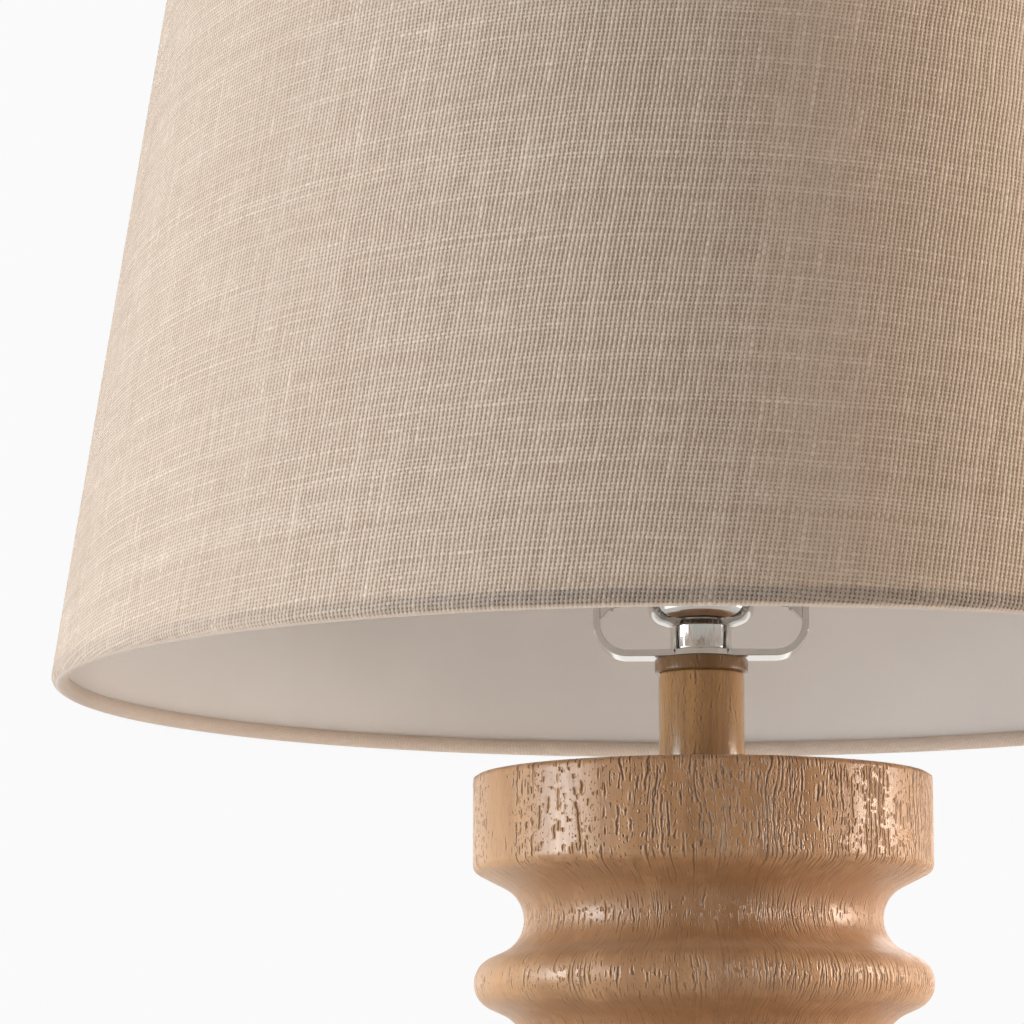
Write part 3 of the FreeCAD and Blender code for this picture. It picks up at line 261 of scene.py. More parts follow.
def stretched(tree, across, along, shift=0.0, detail=2.0, rough=0.5, warp=0.0):
    """Noise on the piece's own place, with cells of one size across the grain and another along."""
    mapped = add(tree, "ShaderNodeMapping", None, {
        "Vector": add(tree, "ShaderNodeTexCoord").part("Object"),
        "Location": (shift, shift * 1.7, shift * 0.3),
        "Scale": (1 / across, 1 / across, 1 / along)})
    return add(tree, "ShaderNodeTexNoise", {"noise_dimensions": "3D"}, {
        "Vector": mapped, "Scale": 1.0, "Detail": detail, "Roughness": rough,
        "Distortion": warp})


def flat_noise(tree, first, second, detail=1.5, rough=0.5):
    """Noise over two lengths measured on the surface."""
    place = add(tree, "ShaderNodeCombineXYZ", None, {"X": first, "Y": second})
    return add(tree, "ShaderNodeTexNoise", {"noise_dimensions": "2D"},
               {"Vector": place, "Scale": 1.0, "Detail": detail, "Roughness": rough})


def chance_of(tree, number):
    """A fixed random value from 0 to 1 for each whole number."""
    return add(tree, "ShaderNodeTexWhiteNoise", {"noise_dimensions": "1D"}, {"W": number})


def beyond_hollows(z):
    """The height below the first hollow or above the last one, and less than 0 between them."""
    return (split - z).math("MAXIMUM", z - last_cove)


def slope_share(z):
    """0 where the turned side is upright, 1 half way down each slope beside a hollow."""
    beyond = beyond_hollows(z)
    on_disc = beyond > 0.0
    share = ((z - split).math("PINGPONG", half_pitch) / half_pitch * (1 - on_disc)
             + (beyond / lip_drop).math("MINIMUM", 1.0) * on_disc)
    return (share * math.pi).math("SINE").math("MAXIMUM", 0.0)


def grooves(tree, around, up, pitch, dash, thick, share, seed):
    """Broken upright lines, one in each lane of the given pitch, as depth and as raised lips."""
    drift = flat_noise(tree, around / 11.0 + seed, up / 24.0) - 0.5
    lane = around / pitch + drift * (4.5 / pitch)
    number = lane.math("FLOOR")
    aside = (chance_of(tree, number + seed) - 0.5) * 0.45
    wave = flat_noise(tree, number * 5.7 + seed, up / 3.0, detail=2.0) - 0.5
    off = (lane - number - 0.5 + aside + wave * 0.45).math("ABSOLUTE")
    shown = (flat_noise(tree, number * 7.3 + seed, up / dash) + (share - 0.5)).step(0.50, 0.60)
    half = thick * (0.30 + flat_noise(tree, number * 3.1 + seed, up / 2.2) * 1.4)
    line = (1 - off / half).math("MAXIMUM", 0.0).step(0.0, 0.9)
    lips = (1 - ((off - half * 1.8) / half).math("ABSOLUTE")).math("MAXIMUM", 0.0)
    return line * shown, lips * shown


def wood(name, tones, depth, density, rough, radius, turned=False, **looks):
    """Upright grain: soft figure, brushed-out vessels as broken, wandering grooves, and painted
    light: paler flanks and pale lips beside the grooves.
    """
    pale_tone, mid_tone, brown_tone, pore_tone = tones
    painted_light_tone = tuple(1.22 * c for c in pale_tone)
    material = finish(name, ior=1.6, **looks)
    tree = material.node_tree
    x, y, z = object_place(tree)
    around = x.math("ARCTAN2", y * -1.0) * (radius * MILLIMETRES)
    up = z * MILLIMETRES
    belt = stretched(tree, 0.018, 0.160, 6.1)
    figure = stretched(tree, 0.0045, 0.070, 8.4, detail=3.0, rough=0.6, warp=0.3)
    fibre = flat_noise(tree, around / 0.55, up / 8.0, detail=3.0, rough=0.6)
    share = density + (belt.step(0.36, 0.64) - 0.5) * 0.15
    if turned:
        share = share - (x * -1.0).step(0.030, 0.066) * 0.14
    long_line, long_lip = grooves(tree, around, up, pitch=2.1, dash=6.5, thick=0.16,
                                  share=share, seed=3.0)
    short_line, short_lip = grooves(tree, around, up, pitch=1.4, dash=2.4, thick=0.18,
                                    share=share - 0.03, seed=17.0)
    pits, _ = grooves(tree, around, up, pitch=1.1, dash=0.9, thick=0.15,
                      share=share - 0.06, seed=29.0)
    cut = long_line.math("MAXIMUM", short_line).math("MAXIMUM", pits * 0.8)
    ridge = long_lip.math("MAXIMUM", short_lip)
    light = (figure - 0.5) * 2.0 + (belt - 0.5) * 1.4 + 0.5
    if turned:
        slope = slope_share(z)
        cut, ridge = cut * (1 - slope * 0.75), ridge * (1 - slope)
        light = light - slope * 0.45
    # Painted light: the flanks towards plus and minus X are painted paler, as if lit from the
    # sides.
    painted_lit_sides = (x / radius).math("ABSOLUTE").step(0.60, 0.98)
    tone = tinted(tree, light.clamped(), mid_tone, pale_tone)
    tone = tinted(tree, painted_lit_sides * 0.6, tone, painted_light_tone)
    tone = tinted(tree, (fibre - 0.48).math("MULTIPLY", 1.3, clamp=True), tone, brown_tone)
    # Painted highlight: the raised lips beside the grooves are painted pale, as if they caught the
    # light.
    tone = tinted(tree, ridge * 0.55, tone, painted_light_tone)
    tone = tinted(tree, cut * 0.92, tone, pore_tone)
    height = (fibre - 0.5) * 0.12 + (figure - 0.5) * 0.25 + ridge * 0.45 - cut
    feed(material, base_color=tone,
         roughness=rough + cut * 0.30 + ridge * 0.10 + (fibre - 0.5) * 0.20,
         normal=relief(tree, height, depth))
    return material


brushed_oak = wood(
    "brushed_oak", tones=((0.53, 0.282, 0.132), (0.345, 0.163, 0.067), (0.23, 0.100, 0.040),
                          (0.070, 0.025, 0.008)),
    depth=0.00026, density=0.52, rough=0.34, radius=DISC_RADIUS, turned=True,
    specular_tint=(1.0, 0.88, 0.76), sheen_weight=0.18, sheen_roughness=0.4,
    sheen_tint=(1.0, 0.84, 0.64))


def column_tree():
    """Geometry nodes: an upright line whose radius follows the turner's profile."""
    tree = bpy.data.node_groups.new("turned_column", "GeometryNodeTree")
    for label, kind in (("Low", "NodeSocketFloat"), ("High", "NodeSocketFloat"),
                        ("Rings", "NodeSocketInt"), ("Sides", "NodeSocketInt"),
                        ("Wood", "NodeSocketMaterial")):
        tree.interface.new_socket(label, in_out="INPUT", socket_type=kind)
    tree.interface.new_socket("Geometry", in_out="OUTPUT", socket_type="NodeSocketGeometry")
    given = add(tree, "NodeGroupInput")
    start, end = (add(tree, "ShaderNodeCombineXYZ", None, {"Z": given.part(label)})
                  for label in ("Low", "High"))
    line = add(tree, "GeometryNodeCurvePrimitiveLine", None, {"Start": start, "End": end})
    line = add(tree, "GeometryNodeResampleCurve", None,
               {"Curve": line, "Count": given.part("Rings")})
    place = add(tree, "GeometryNodeInputPosition")
    z = add(tree, "ShaderNodeSeparateXYZ", None, {0: place}).part("Z")

    def dome(middle, radius, offset, sign):
        """The circle's edge at a height offset from its middle."""
        return middle + sign * (radius ** 2 - (offset * offset)).math("MAXIMUM", 0.0).math("SQRT")

    def leaning(offset, lean_angle):
        """The straight slope that leaves a hollow where its round reaches an angle."""
        return (cove_middle - COVE_ROUND * math.sin(lean_angle)
                + (offset - COVE_ROUND * math.cos(lean_angle)) * (1 / math.tan(lean_angle)))

    # Beads and hollows, repeated by the pitch.
    rise = (z - split).math("PINGPONG", half_pitch)
    bead = dome(bead_middle, BEAD_ROUND, half_pitch - rise, 1)
    cove = dome(cove_middle, COVE_ROUND, rise, -1)
    in_cove = rise < COVE_ROUND * math.cos(flank)
    in_bead = (half_pitch - rise) < BEAD_ROUND * math.cos(flank)
    shaft = cove * in_cove + bead * in_bead + leaning(rise, flank) * (1 - in_cove - in_bead)
    # The cap disc, measured up from the hollow below it and down from its upper face.
    beyond = beyond_hollows(z)
    below_top = cap_top - z
    lip_cove = dome(cove_middle, COVE_ROUND, beyond, -1)
    edge = dome(DISC_RADIUS - INNER_ROUND, INNER_ROUND, lip_drop - beyond, 1)
    rim = dome(DISC_RADIUS - OUTER_ROUND, OUTER_ROUND, OUTER_ROUND - below_top, 1)
    on_cove = beyond < COVE_ROUND * math.cos(lip)
    on_slant = (beyond < lip_drop - INNER_ROUND * math.cos(lip)) - on_cove
    on_edge = (beyond < lip_drop) - on_cove - on_slant
    on_rim = below_top < OUTER_ROUND
    on_side = 1 - on_cove - on_slant - on_edge - on_rim
    disc = (lip_cove * on_cove + leaning(beyond, lip) * on_slant + edge * on_edge + rim * on_rim
            + DISC_RADIUS * on_side)
    outside = beyond > 0.0
    sides = add(tree, "GeometryNodeCurvePrimitiveCircle", None,
                {"Resolution": given.part("Sides"), "Radius": 1.0})
    skin = add(tree, "GeometryNodeCurveToMesh", None,
               {"Curve": line, "Profile Curve": sides,
                "Scale": shaft * (1 - outside) + disc * outside, "Fill Caps": True})
    skin = add(tree, "GeometryNodeSetShadeSmooth", None, {"Geometry": skin})
    skin = add(tree, "GeometryNodeRealizeInstances", None, {"Geometry": skin})
    skin = add(tree, "GeometryNodeSetMaterial", None,
               {"Geometry": skin, "Material": given.part("Wood")})
    put(tree.nodes.new("NodeGroupOutput").inputs[0], skin)
    return tree


def plain(piece):
    """Applies a piece's modifiers to its mesh."""
    bpy.context.view_layer.update()
    data = bpy.data.meshes.new_from_object(
        piece.evaluated_get(bpy.context.evaluated_depsgraph_get()))
    data.name = piece.name
    piece.modifiers.clear()
    piece.data = data
    return piece


def placed(name, data):
    """A mesh as an object in the scene, at the origin."""
    piece = bpy.data.objects.new(name, data)
    scene.collection.objects.link(piece)
    return piece


def grown(name, tree, **values):
    """A plain piece that a tree gives for these inputs."""
    piece = placed(name, bpy.data.meshes.new(name))
    modifier = piece.modifiers.new("nodes", "NODES")
    modifier.node_group = tree
    for item in tree.interface.items_tree:
        if item.in_out == "INPUT":
            modifier[item.identifier] = values[item.name]
    return plain(piece)


def fit(piece, material, body, slot, *nodes):
    """Finishes a piece: its material, the body it rides on and the solids it stands for."""
    piece.data.materials.clear()
    piece.data.materials.append(material)
    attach(piece, body)
    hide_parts(*nodes)


wood_column = grown("wood_column", column_tree(), Low=split, High=cap_top,
                    Rings=COLUMN_RINGS, Sides=COLUMN_SIDES, Wood=brushed_oak)
wood_column.data.set_sharp_from_angle(angle=math.radians(50))
fit(wood_column, brushed_oak, "stand", "column_wood", "column")


def whole(name, mesh, angle=38.0):
    """Closes a mesh's seams and poles, turns its faces outwards and smooths them."""
    bmesh.ops.remove_doubles(mesh, verts=mesh.verts, dist=2e-6)
    bmesh.ops.dissolve_degenerate(mesh, edges=mesh.edges, dist=1e-7)
    bmesh.ops.recalc_face_normals(mesh, faces=mesh.faces)
    for face in mesh.faces:
        face.smooth = True
    data = bpy.data.meshes.new(name)
    mesh.to_mesh(data)
    mesh.free()
    data.set_sharp_from_angle(angle=math.radians(angle))
    return placed(name, data)


def weighted(piece):
    """Lets the broad faces of a piece settle how the light rolls over its edges."""
    piece.modifiers.new("weight", "WEIGHTED_NORMAL").keep_sharp = True
    return plain(piece)


def smoothed(name, node):
    """A copy of a solid's mesh with its seams merged and its rounds smooth."""
    mesh = bmesh.new()
    mesh.from_mesh(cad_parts[node].data)
    return weighted(whole(name, mesh, angle=30.0))


def refine(name, node, material, body, slot):
    """Puts a smoothed copy in the place of one solid."""
    fit(smoothed(name, node), material, body, slot, node)


refine("wood_foot", "foot", brushed_oak, "stand", "column_wood")

# Felt. A disc of wool felt glued under the foot, a little smaller than the foot, so that
# the lamp doesn't scratch the table.
FELT_RADIUS, FELT_THICKNESS, FELT_EDGE = 0.0650, 0.0020, 0.0006
FELT_RINGS = 6


def mottled(name, grain, tones, depth=None, gloss=None, **looks):
    """A finish whose tone wanders between two colours, and its relief or roughness with it."""
    material = finish(name, **looks)
    tree = material.node_tree
    noise = stretched(tree, **grain)
    feed(material, base_color=tinted(tree, noise, *tones))
    if depth:
        feed(material, normal=relief(tree, noise, depth))
    if gloss:
        smoothest, spread = gloss
        feed(material, roughness=smoothest + noise * spread)
    return material


def arc(across, level, radius, start, stop, count):
    """Points on an arc, angles in degrees from the outward side."""
    angles = [math.radians(start + (stop - start) * k / count) for k in range(count + 1)]
    return [(across + radius * math.cos(a), level + radius * math.sin(a)) for a in angles]


def turn(name, section, around, ring=False, pushed=None):
    """A turned mesh from points (radius, height), from the axis out and back, or a closed ring."""
    mesh = bmesh.new()
    rows = []
    for radius, level in section:
        rows.append([])
        for k in range(around):
            angle = 2 * math.pi * k / around
            r = pushed(radius, level, angle) if pushed else radius
            rows[-1].append(mesh.verts.new((r * math.sin(angle), -r * math.cos(angle), level)))
    for lower, upper in zip(rows, rows[1:] + rows[:1] if ring else rows[1:]):
        for k in range(around):
            mesh.faces.new((lower[k - 1], lower[k], upper[k], upper[k - 1]))
    return whole(name, mesh)


wool_felt = mottled("wool_felt",
                    dict(across=0.0006, along=0.0006, shift=2.0, detail=5.0, rough=0.7),
                    ((0.05, 0.045, 0.04), (0.13, 0.12, 0.11)), depth=0.0003,
                    roughness=0.95, sheen_weight=0.3)
felt = turn("felt_disc",
            [(FELT_RADIUS * k / FELT_RINGS, 0.0) for k in range(FELT_RINGS)]
            + arc(FELT_RADIUS - FELT_EDGE, FELT_EDGE, FELT_EDGE, -90, 0, 4)
            + [(FELT_RADIUS, FELT_THICKNESS), (0.0, FELT_THICKNESS)], 120)
fit(felt, wool_felt, "stand", "felt", "felt_pad")

# Neck and collar. A slim turned dowel of the same oak, sanded smooth and given a warm gloss
# lacquer, with a thin ring at its foot and a wider collar that carries the saddle, painted darker
# as shade.
NECK_RADIUS, NECK_GROOVE, NECK_RING = 0.0126, 0.0005, 0.0009
COLLAR_RADIUS, COLLAR_LOW_ROUND, COLLAR_TOP_ROUND = 0.0137, 0.0008, 0.0004
BORE = 0.00545
glossy_oak = wood(
    "glossy_oak", tones=((0.55, 0.310, 0.122), (0.255, 0.126, 0.046), (0.12, 0.054, 0.020),
                         (0.05, 0.022, 0.009)),
    depth=0.00003, density=0.40, rough=0.16, radius=NECK_RADIUS,
    specular_tint=(1.0, 0.93, 0.84), coat_weight=1.0, coat_roughness=0.15,
    coat_tint=(1.0, 0.93, 0.82), sheen_weight=0.25, sheen_roughness=0.4,
    sheen_tint=(1.0, 0.78, 0.50))
# Painted shade: a darker copy of the oak for the collar, which stands in shade.
shadow_painted_oak = wood(
    "shadow_painted_oak", tones=((0.25, 0.132, 0.050), (0.155, 0.075, 0.026), (0.08, 0.036, 0.014),
                         (0.04, 0.018, 0.008)),
    depth=0.00003, density=0.34, rough=0.24, radius=COLLAR_RADIUS,
    specular_tint=(1.0, 0.93, 0.84))
groove_floor = NECK_RADIUS - NECK_GROOVE
low, high = (corner.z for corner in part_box("neck"))
neck = turn("oak_neck",
            [(BORE, low), (NECK_RADIUS - NECK_GROOVE / 2, low),
             (NECK_RADIUS - NECK_GROOVE / 2, low + NECK_RING),
             (groove_floor, low + NECK_RING + NECK_GROOVE / 2),
             (NECK_RADIUS, low + NECK_RING + NECK_GROOVE)]
            + arc(groove_floor, high - NECK_GROOVE, NECK_GROOVE, 0, 90, 5)
            + [(BORE, high)], 120, ring=True)
fit(neck, glossy_oak, "stand", "neck_wood", "neck")
low, high = (corner.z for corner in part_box("neck_collar"))
collar = turn("oak_collar", [(BORE, low)]
              + arc(COLLAR_RADIUS - COLLAR_LOW_ROUND, low + COLLAR_LOW_ROUND, COLLAR_LOW_ROUND,
                    -90, 0, 6)
              + arc(COLLAR_RADIUS - COLLAR_TOP_ROUND, high - COLLAR_TOP_ROUND, COLLAR_TOP_ROUND,
                    0, 90, 4)
              + [(BORE, high)], 120, ring=True)
fit(collar, shadow_painted_oak, "stand", "neck_wood", "neck_collar")

# Fittings under the foot and in the column. A cast-iron ring weights the foot; a zinc-plated
# tube with washers and a nut holds everything together and carries the wires up.
cast_iron = mottled("cast_iron",
                    dict(across=0.0012, along=0.0012, shift=4.0, detail=6.0, rough=0.7),
                    ((0.03, 0.03, 0.03), (0.13, 0.125, 0.12)), depth=0.0004,
                    metallic=0.6, roughness=0.75)
zinc = mottled("zinc_plate", dict(across=0.0025, along=0.0025, shift=6.0, detail=4.0),
               ((0.50, 0.50, 0.47), (0.68, 0.68, 0.66)), gloss=(0.28, 0.2), metallic=1.0)


def dress(material, *nodes):
    """Gives a finish to solids that stay as they are."""
    for node in nodes:
        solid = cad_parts[node]
        solid.data.materials.clear()
        solid.data.materials.append(material)


dress(cast_iron, "base_weight")
dress(zinc, "base_washer", "lock_washer", "base_nut", "threaded_rod", "cap_grub_screw",
      "bottom_ring", "top_ring")

# Moulded pieces. The bushing of the cord hole, the switch knob and the thin gasket are black
# nylon; the socket core and the rotor of the switch are brown-black phenolic.
black_nylon = mottled("black_nylon", dict(across=0.0004, along=0.0004, shift=7.0, detail=3.0),
                      ((0.012, 0.012, 0.012), (0.028, 0.028, 0.028)), depth=0.00004,
                      roughness=0.42)
phenolic = mottled("phenolic", dict(across=0.004, along=0.004, shift=2.7, detail=4.0, warp=1.0),
                   ((0.02, 0.012, 0.008), (0.07, 0.042, 0.028)), depth=0.00005, roughness=0.35)
refine("cord_bushing_trim", "cord_bushing", black_nylon, "stand", "black_plastic")
refine("knob", "switch_knob", black_nylon, "switch", "black_plastic")
dress(black_nylon, "saddle_gasket")
dress(phenolic, "socket_core", "switch_rotor")

# Saddle and harp. Steel strip bent to a U under the socket, and a round wire bent to a harp
# that stands in its two gutters under sliding ferrules. All of it is polished and nickelled.
STRIP_EASE = 0.00018
nickel = mottled("polished_nickel",
                 dict(across=0.006, along=0.006, shift=1.9, detail=5.0, rough=0.6),
                 ((0.66, 0.65, 0.63), (0.78, 0.77, 0.75)), gloss=(0.06, 0.07), metallic=1.0)


def eased(piece, width):
    """Softens a pressed piece's sharp edges, so that they catch the light."""
    mesh = bmesh.new()
    mesh.from_mesh(piece.data)
    bmesh.ops.dissolve_limit(mesh, angle_limit=math.radians(1.0), verts=mesh.verts,
                             edges=mesh.edges)
    mesh.to_mesh(piece.data)
    mesh.free()
    bevel = piece.modifiers.new("edge", "BEVEL")
    bevel.width, bevel.segments, bevel.limit_method = width, 2, "ANGLE"
    bevel.angle_limit = math.radians(42)
    plain(piece).data.set_sharp_from_angle(angle=math.radians(35))
    return weighted(piece)


fit(eased(smoothed("saddle", "harp_saddle"), STRIP_EASE), nickel, "stand", "polished_nickel",
    "harp_saddle")
refine("harp_rod", "harp_wire", nickel, "harp", "polished_nickel")
refine("harp_top", "harp_stud", nickel, "harp", "polished_nickel")
refine("ferrule_l", "ferrule_left", nickel, "left_ferrule", "polished_nickel")
refine("ferrule_r", "ferrule_right", nickel, "right_ferrule", "polished_nickel")

# Socket and switch. A drawn cap and shell, snapped together round a fibre sleeve and a
# moulded core; brass parts carry the current.
refine("cap", "socket_cap", nickel, "stand", "polished_nickel")
refine("shell", "socket_shell", nickel, "stand", "polished_nickel")
brass = mottled("brass", dict(across=0.003, along=0.003, shift=3.3, detail=5.0),
                ((0.62, 0.43, 0.18), (0.80, 0.60, 0.30)), gloss=(0.22, 0.2), metallic=1.0)
fibre_board = mottled("fibre_board",
                      dict(across=0.0010, along=0.0040, shift=5.5, detail=5.0, rough=0.7),
                      ((0.26, 0.17, 0.09), (0.42, 0.30, 0.17)), depth=0.0001, roughness=0.8)
dress(brass, "terminal_screws", "screw_shell", "centre_contact", "switch_shaft", "bulb_tip",
      "finial_insert")
dress(fibre_board, "fibre_sleeve")

# Bulb. A frosted glass envelope on an aluminium screw base, with a dark glass insulator
# and a brass contact below.
THREAD_PITCH, THREAD_DEPTH, THREAD_START, THREAD_FADE = 0.00363, 0.0007, 0.0015, 0.002
BASE_RADIUS, BASE_THICKNESS, BASE_MOUTH, BASE_WALL = 0.01305, 0.0012, 0.0070, 0.0004
WALL_ROWS = 60
frosted = mottled("frosted_glass", dict(across=0.010, along=0.010, shift=2.2, detail=3.0),
                  ((0.86, 0.85, 0.82), (0.91, 0.90, 0.88)),
                  roughness=0.32, coat_weight=0.6, coat_roughness=0.12)
refine("envelope", "bulb_glass", frosted, "bulb_shell", "frosted_glass")
aluminium = mottled("rolled_aluminium", dict(across=0.004, along=0.0004, shift=6.6, detail=3.0),
                    ((0.66, 0.66, 0.66), (0.78, 0.78, 0.78)), gloss=(0.25, 0.15), metallic=1.0)
low, high = (corner.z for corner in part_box("bulb_base"))
mouth_top = low + BASE_WALL


def rolled(radius, level, angle):
    """Pushes the plain wall in between the turns of the rolled thread."""
    if radius != BASE_RADIUS:
        return radius
    ends = min(1.0, max(0.0, (level - low - THREAD_START) / THREAD_FADE),
               max(0.0, (high - level - THREAD_FADE) / THREAD_FADE))
    turns = level / THREAD_PITCH - angle / (2 * math.pi)
    return radius - THREAD_DEPTH * (0.5 - 0.5 * math.cos(2 * math.pi * turns)) * ends


base = turn("screw_base",
            [(BASE_MOUTH, low), (BASE_RADIUS - BASE_THICKNESS, low)]
            + [(BASE_RADIUS, mouth_top + (high - mouth_top) * k / WALL_ROWS)
               for k in range(WALL_ROWS + 1)]
            + [(BASE_RADIUS - BASE_THICKNESS, high), (BASE_RADIUS - BASE_THICKNESS, mouth_top),
               (BASE_MOUTH, mouth_top)], 96, ring=True, pushed=rolled)
fit(base, aluminium, "bulb_shell", "bulb_metal", "bulb_base")
dark_glass = finish("dark_glass", base_color=(0.02, 0.015, 0.03), roughness=0.12)
dress(dark_glass, "bulb_insulator")

# Shade, linen. A sector of slubby linen is laminated to a stiff liner, closed at the back and
# turned in over a wire ring at each edge. The threads lie slightly askew on the cone.
SHADE_HEIGHT, BASE_RIM, TOP_RIM, SEAM_ALLOWANCE = 0.2540, 0.1905, 0.1524, 0.009
HEM, CHANNEL, LIP_END = 0.0025, 0.0018, 0.0010
ROUND_STEPS, WALL_STEPS, AROUND = 24, 16, 288
WARP_PITCH, WEFT_PITCH, CLOTH_RELIEF = 1.20, 1.08, 0.00036
GRAIN_CENTRE, SKEW = math.radians(-12), math.tan(math.radians(7.8))
shade_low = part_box("shade_linen")[0].z
taper = (BASE_RIM - TOP_RIM) / SHADE_HEIGHT
lean = math.atan(taper)
ring_middles = {
    "low": (BASE_RIM - HEM * taper - HEM / math.cos(lean), shade_low + HEM),
    "high": (TOP_RIM + HEM * taper - HEM / math.cos(lean), shade_low + SHADE_HEIGHT - HEM)}


def beside(ring, out, up):
    """A point measured from a ring's middle: square to the wall and along it."""
    radius, level = ring_middles[ring]
    return (radius + out * math.cos(lean) - up * math.sin(lean),
            level + out * math.sin(lean) + up * math.cos(lean))


def round_ring(ring, radius, start, stop):
    """Points round a ring, angles from the wall's outward side."""
    return [beside(ring, out, up) for out, up in arc(0, 0, radius, start, stop, ROUND_STEPS)]


def cloth_section(radius):
    """From the end of the lower hem, round the ring, up the wall and over the upper ring."""
    stop = math.degrees(math.acos(LIP_END / radius))
    wall_length = (ring_middles["high"][1] - ring_middles["low"][1]) / math.cos(lean)
    wall = [beside("low", radius, wall_length * k / WALL_STEPS) for k in range(1, WALL_STEPS)]
    return (round_ring("low", radius, stop - 360, 0) + wall
            + round_ring("high", radius, 0, 360 - stop))


def linen_mesh():
    """The closed cloth, with its threads' places and its distance from the hem as UV maps."""
    outer, inner = cloth_section(HEM), cloth_section(CHANNEL)
    run = [0.0]
    for first, second in zip(outer, outer[1:]):
        run.append(run[-1] + math.hypot(second[0] - first[0], second[1] - first[1]))
    apex = outer[ROUND_STEPS][0] / math.sin(lean) + run[ROUND_STEPS]
    section, runs = outer + inner[::-1], run + run[::-1]
    points, faces, threads, hems = [], [], [], []
    for radius, level in section:
        points += [(radius * math.sin(a), -radius * math.cos(a), level)
                   for a in (2 * math.pi * k / AROUND - math.pi for k in range(AROUND))]
    for row in range(len(section)):
        following = (row + 1) % len(section)
        for k in range(AROUND):
            after = (k + 1) % AROUND
            faces.append((row * AROUND + k, row * AROUND + after,
                          following * AROUND + after, following * AROUND + k))
            for step, line in ((k, row), (k + 1, row), (k + 1, following), (k, following)):
                turned = (2 * math.pi * step / AROUND - math.pi - GRAIN_CENTRE) * math.sin(lean)
                reach = apex - runs[line]
                threads.append((reach * math.sin(turned) + reach * math.cos(turned) * SKEW,
                                reach * math.cos(turned)))
                hems.append((runs[line] - run[ROUND_STEPS], 0.0))
    data = bpy.data.meshes.new("linen")
    data.from_pydata(points, [], faces)
    for label, places in (("weave", threads), ("edge", hems)):
        for loop, spot in zip(data.uv_layers.new(name=label).data, places):
            loop.uv = spot
    for face in data.polygons:
        face.use_smooth = True
    data.set_sharp_from_angle(angle=math.radians(50))
    return data


def mapped_by(tree, label):
    """A UV map's two lengths, in millimetres."""
    spot = add(tree, "ShaderNodeSeparateXYZ", None,
               {0: add(tree, "ShaderNodeUVMap", {"uv_map": label})})
    return spot * MILLIMETRES, spot.part("Y") * MILLIMETRES


def yarns(tree, across, along, pitch, seed, uneven):
    """One set of threads: place in its thread, thread number, height and tone."""
    wander = (flat_noise(tree, across / 70.0 + seed, along / 26.0, detail=2.0) - 0.5) * 0.9
    count = across / pitch + wander
    number = count.math("FLOOR")
    inside = count - number - 0.5
    chance = chance_of(tree, number + seed)
    slub = flat_noise(tree, number * 7.3 + seed, along / 13.0, detail=1.0)
    long_run = flat_noise(tree, number * 3.9 + seed * 2.0, along / 55.0, detail=1.0)
    thin = flat_noise(tree, number * 5.1 + seed, along / 38.0, detail=1.0).step(0.58, 0.72)
    width = 0.355 + chance * 0.06 + slub.step(0.58, 0.80) * 0.10 - thin * 0.08
    height = (1 - (inside / width) ** 2.0).math("MAXIMUM", 0.0).math("SQRT")
    tone = (0.48 + (chance - 0.5) * uneven + (long_run - 0.5) * uneven * 1.6
            + slub.step(0.60, 0.8) * 0.22)
    return inside, number, height, tone


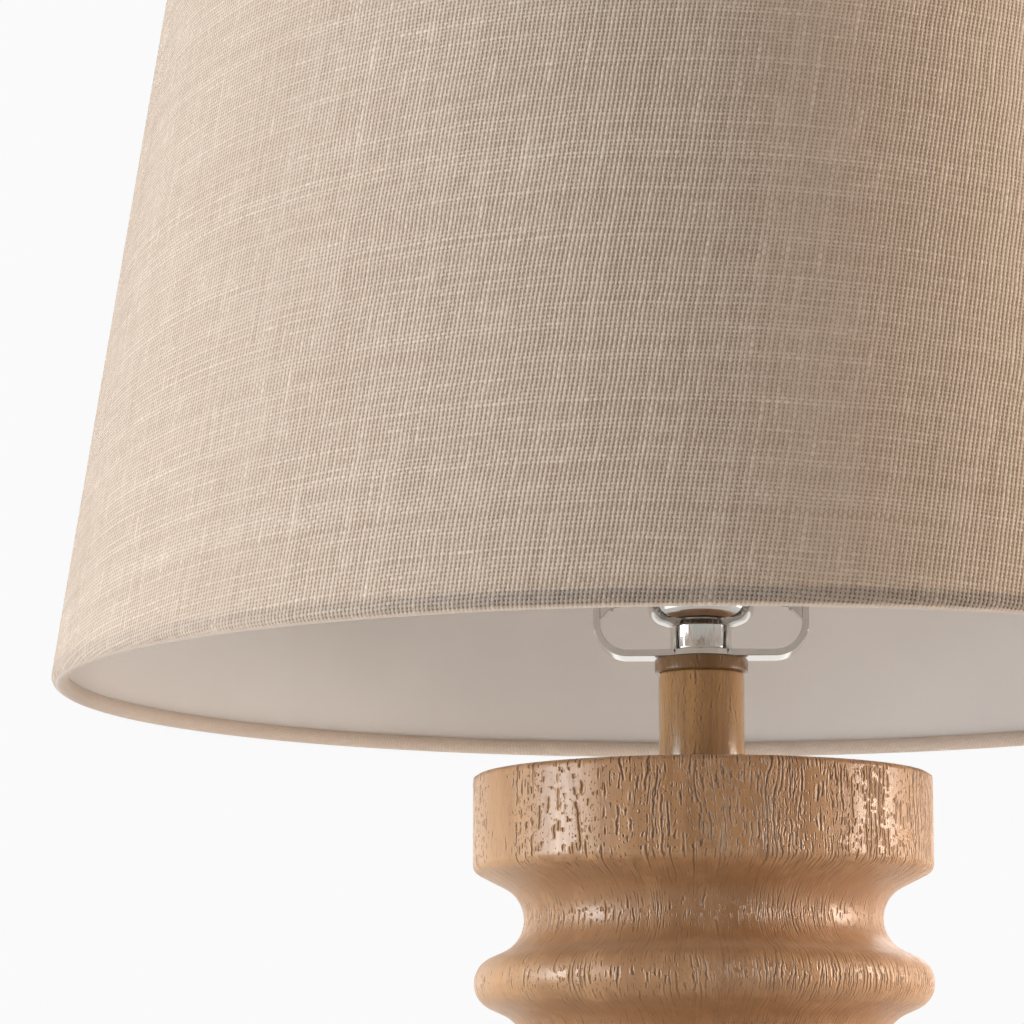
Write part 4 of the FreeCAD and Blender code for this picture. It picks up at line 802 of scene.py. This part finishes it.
def slubby_linen():
    """Plain weave: each thread passes over and under, and the gaps between them are painted dark as
    shade.
    """
    material = finish("slub_linen", roughness=0.9, sheen_weight=0.12, sheen_roughness=0.5)
    tree = material.node_tree
    along_u, along_v = mapped_by(tree, "weave")
    warp_place, warp_number, warp_height, warp_tone = yarns(
        tree, along_u, along_v, WARP_PITCH, seed=11.0, uneven=0.18)
    weft_place, weft_number, weft_height, weft_tone = yarns(
        tree, along_v, along_u, WEFT_PITCH, seed=47.0, uneven=0.42)
    over = ((warp_number + weft_number) * 0.5).math("FRACT") * 4.0 - 1.0
    warp_level = warp_height * (1.08 + over * (weft_place * math.pi).math("COSINE") * 0.38)
    weft_level = weft_height * (0.74 - over * (warp_place * math.pi).math("COSINE") * 0.38)
    top = warp_level.math("MAXIMUM", weft_level)
    warp_wins = warp_level > weft_level
    fuzz = flat_noise(tree, along_u * 3.1, along_v * 3.1, detail=3.0, rough=0.7)
    cloudy = flat_noise(tree, along_u / 45.0, along_v / 45.0, detail=2.0)
    tone = warp_tone * warp_wins + weft_tone * (1 - warp_wins) + (fuzz - 0.5) * 0.5
    yarn_colour = tinted(tree, tone.math("ADD", (cloudy - 0.5) * 0.15, clamp=True),
                         (0.52, 0.355, 0.245), (0.79, 0.61, 0.465))
    crossing = add(tree, "ShaderNodeCombineXYZ", None, {"X": warp_number, "Y": weft_number})
    knot = add(tree, "ShaderNodeTexWhiteNoise", {"noise_dimensions": "2D"}, {"Vector": crossing})
    # Painted shade: where the threads sink low towards the gaps, the colour turns to the dark gap
    # colour.
    covered = (top + (knot - 0.5) * 0.30).step(0.0, 1.0)
    fold, _ = mapped_by(tree, "edge")
    x, _, _ = object_place(tree)
    # Painted shadow: a dark band on gaps and threads round the lower hem's fold, weaker towards
    # minus X.
    painted_hem_shadow = (fold.step(-2.6, -1.9) * (1 - fold.step(0.8, 3.0))
                * (0.35 + 0.65 * x.step(-0.13, -0.03)))
    turned_in = 1 - fold.step(-3.2, -2.3)
    gap_shade_colour = tinted(tree, painted_hem_shadow * 0.9, (0.36, 0.235, 0.15), (0.075, 0.055, 0.043))
    yarn_colour = tinted(tree, painted_hem_shadow * 0.45, yarn_colour, (0.22, 0.18, 0.15))
    colour = tinted(tree, covered, gap_shade_colour, yarn_colour)
    feed(material, base_color=tinted(tree, turned_in * 0.75, colour, (0.70, 0.58, 0.48)),
         normal=relief(tree, (top * 0.55 + fuzz * 0.12) * (1 - turned_in * 0.6), CLOTH_RELIEF))
    return material


linen = placed("linen", linen_mesh())
fit(linen, slubby_linen(), "shade", "linen", "shade_linen")

# Shade, liner. Stiff styrene sheet, warm white, that gives the cone its shape and shows
# inside the shade.
LINER_OUT, LINER_IN, LINER_START = 0.0017, 0.0011, 0.00175
styrene = mottled("styrene_liner", dict(across=0.040, along=0.040, shift=8.8, detail=3.0),
                  ((0.78, 0.725, 0.675), (0.84, 0.79, 0.74)), roughness=0.62)
pebble = stretched(styrene.node_tree, 0.0008, 0.0008, 1.4, detail=3.0)
feed(styrene, normal=relief(styrene.node_tree, pebble, 0.00002))
liner = turn("liner",
             [beside("low", LINER_IN, LINER_START), beside("low", LINER_OUT, LINER_START),
              beside("high", LINER_OUT, -LINER_START), beside("high", LINER_IN, -LINER_START)],
             AROUND, ring=True)
fit(liner, styrene, "shade", "liner_board", "shade_liner")

# Spider and finial. Three wires from a washer to the upper ring hold the shade on the harp's
# stud, under a turned ball finial.
refine("spider", "spider_arms", nickel, "shade", "polished_nickel")
refine("fitter", "fitter_washer", nickel, "shade", "polished_nickel")
refine("finial_ball", "finial_knob", nickel, "finial_shell", "polished_nickel")
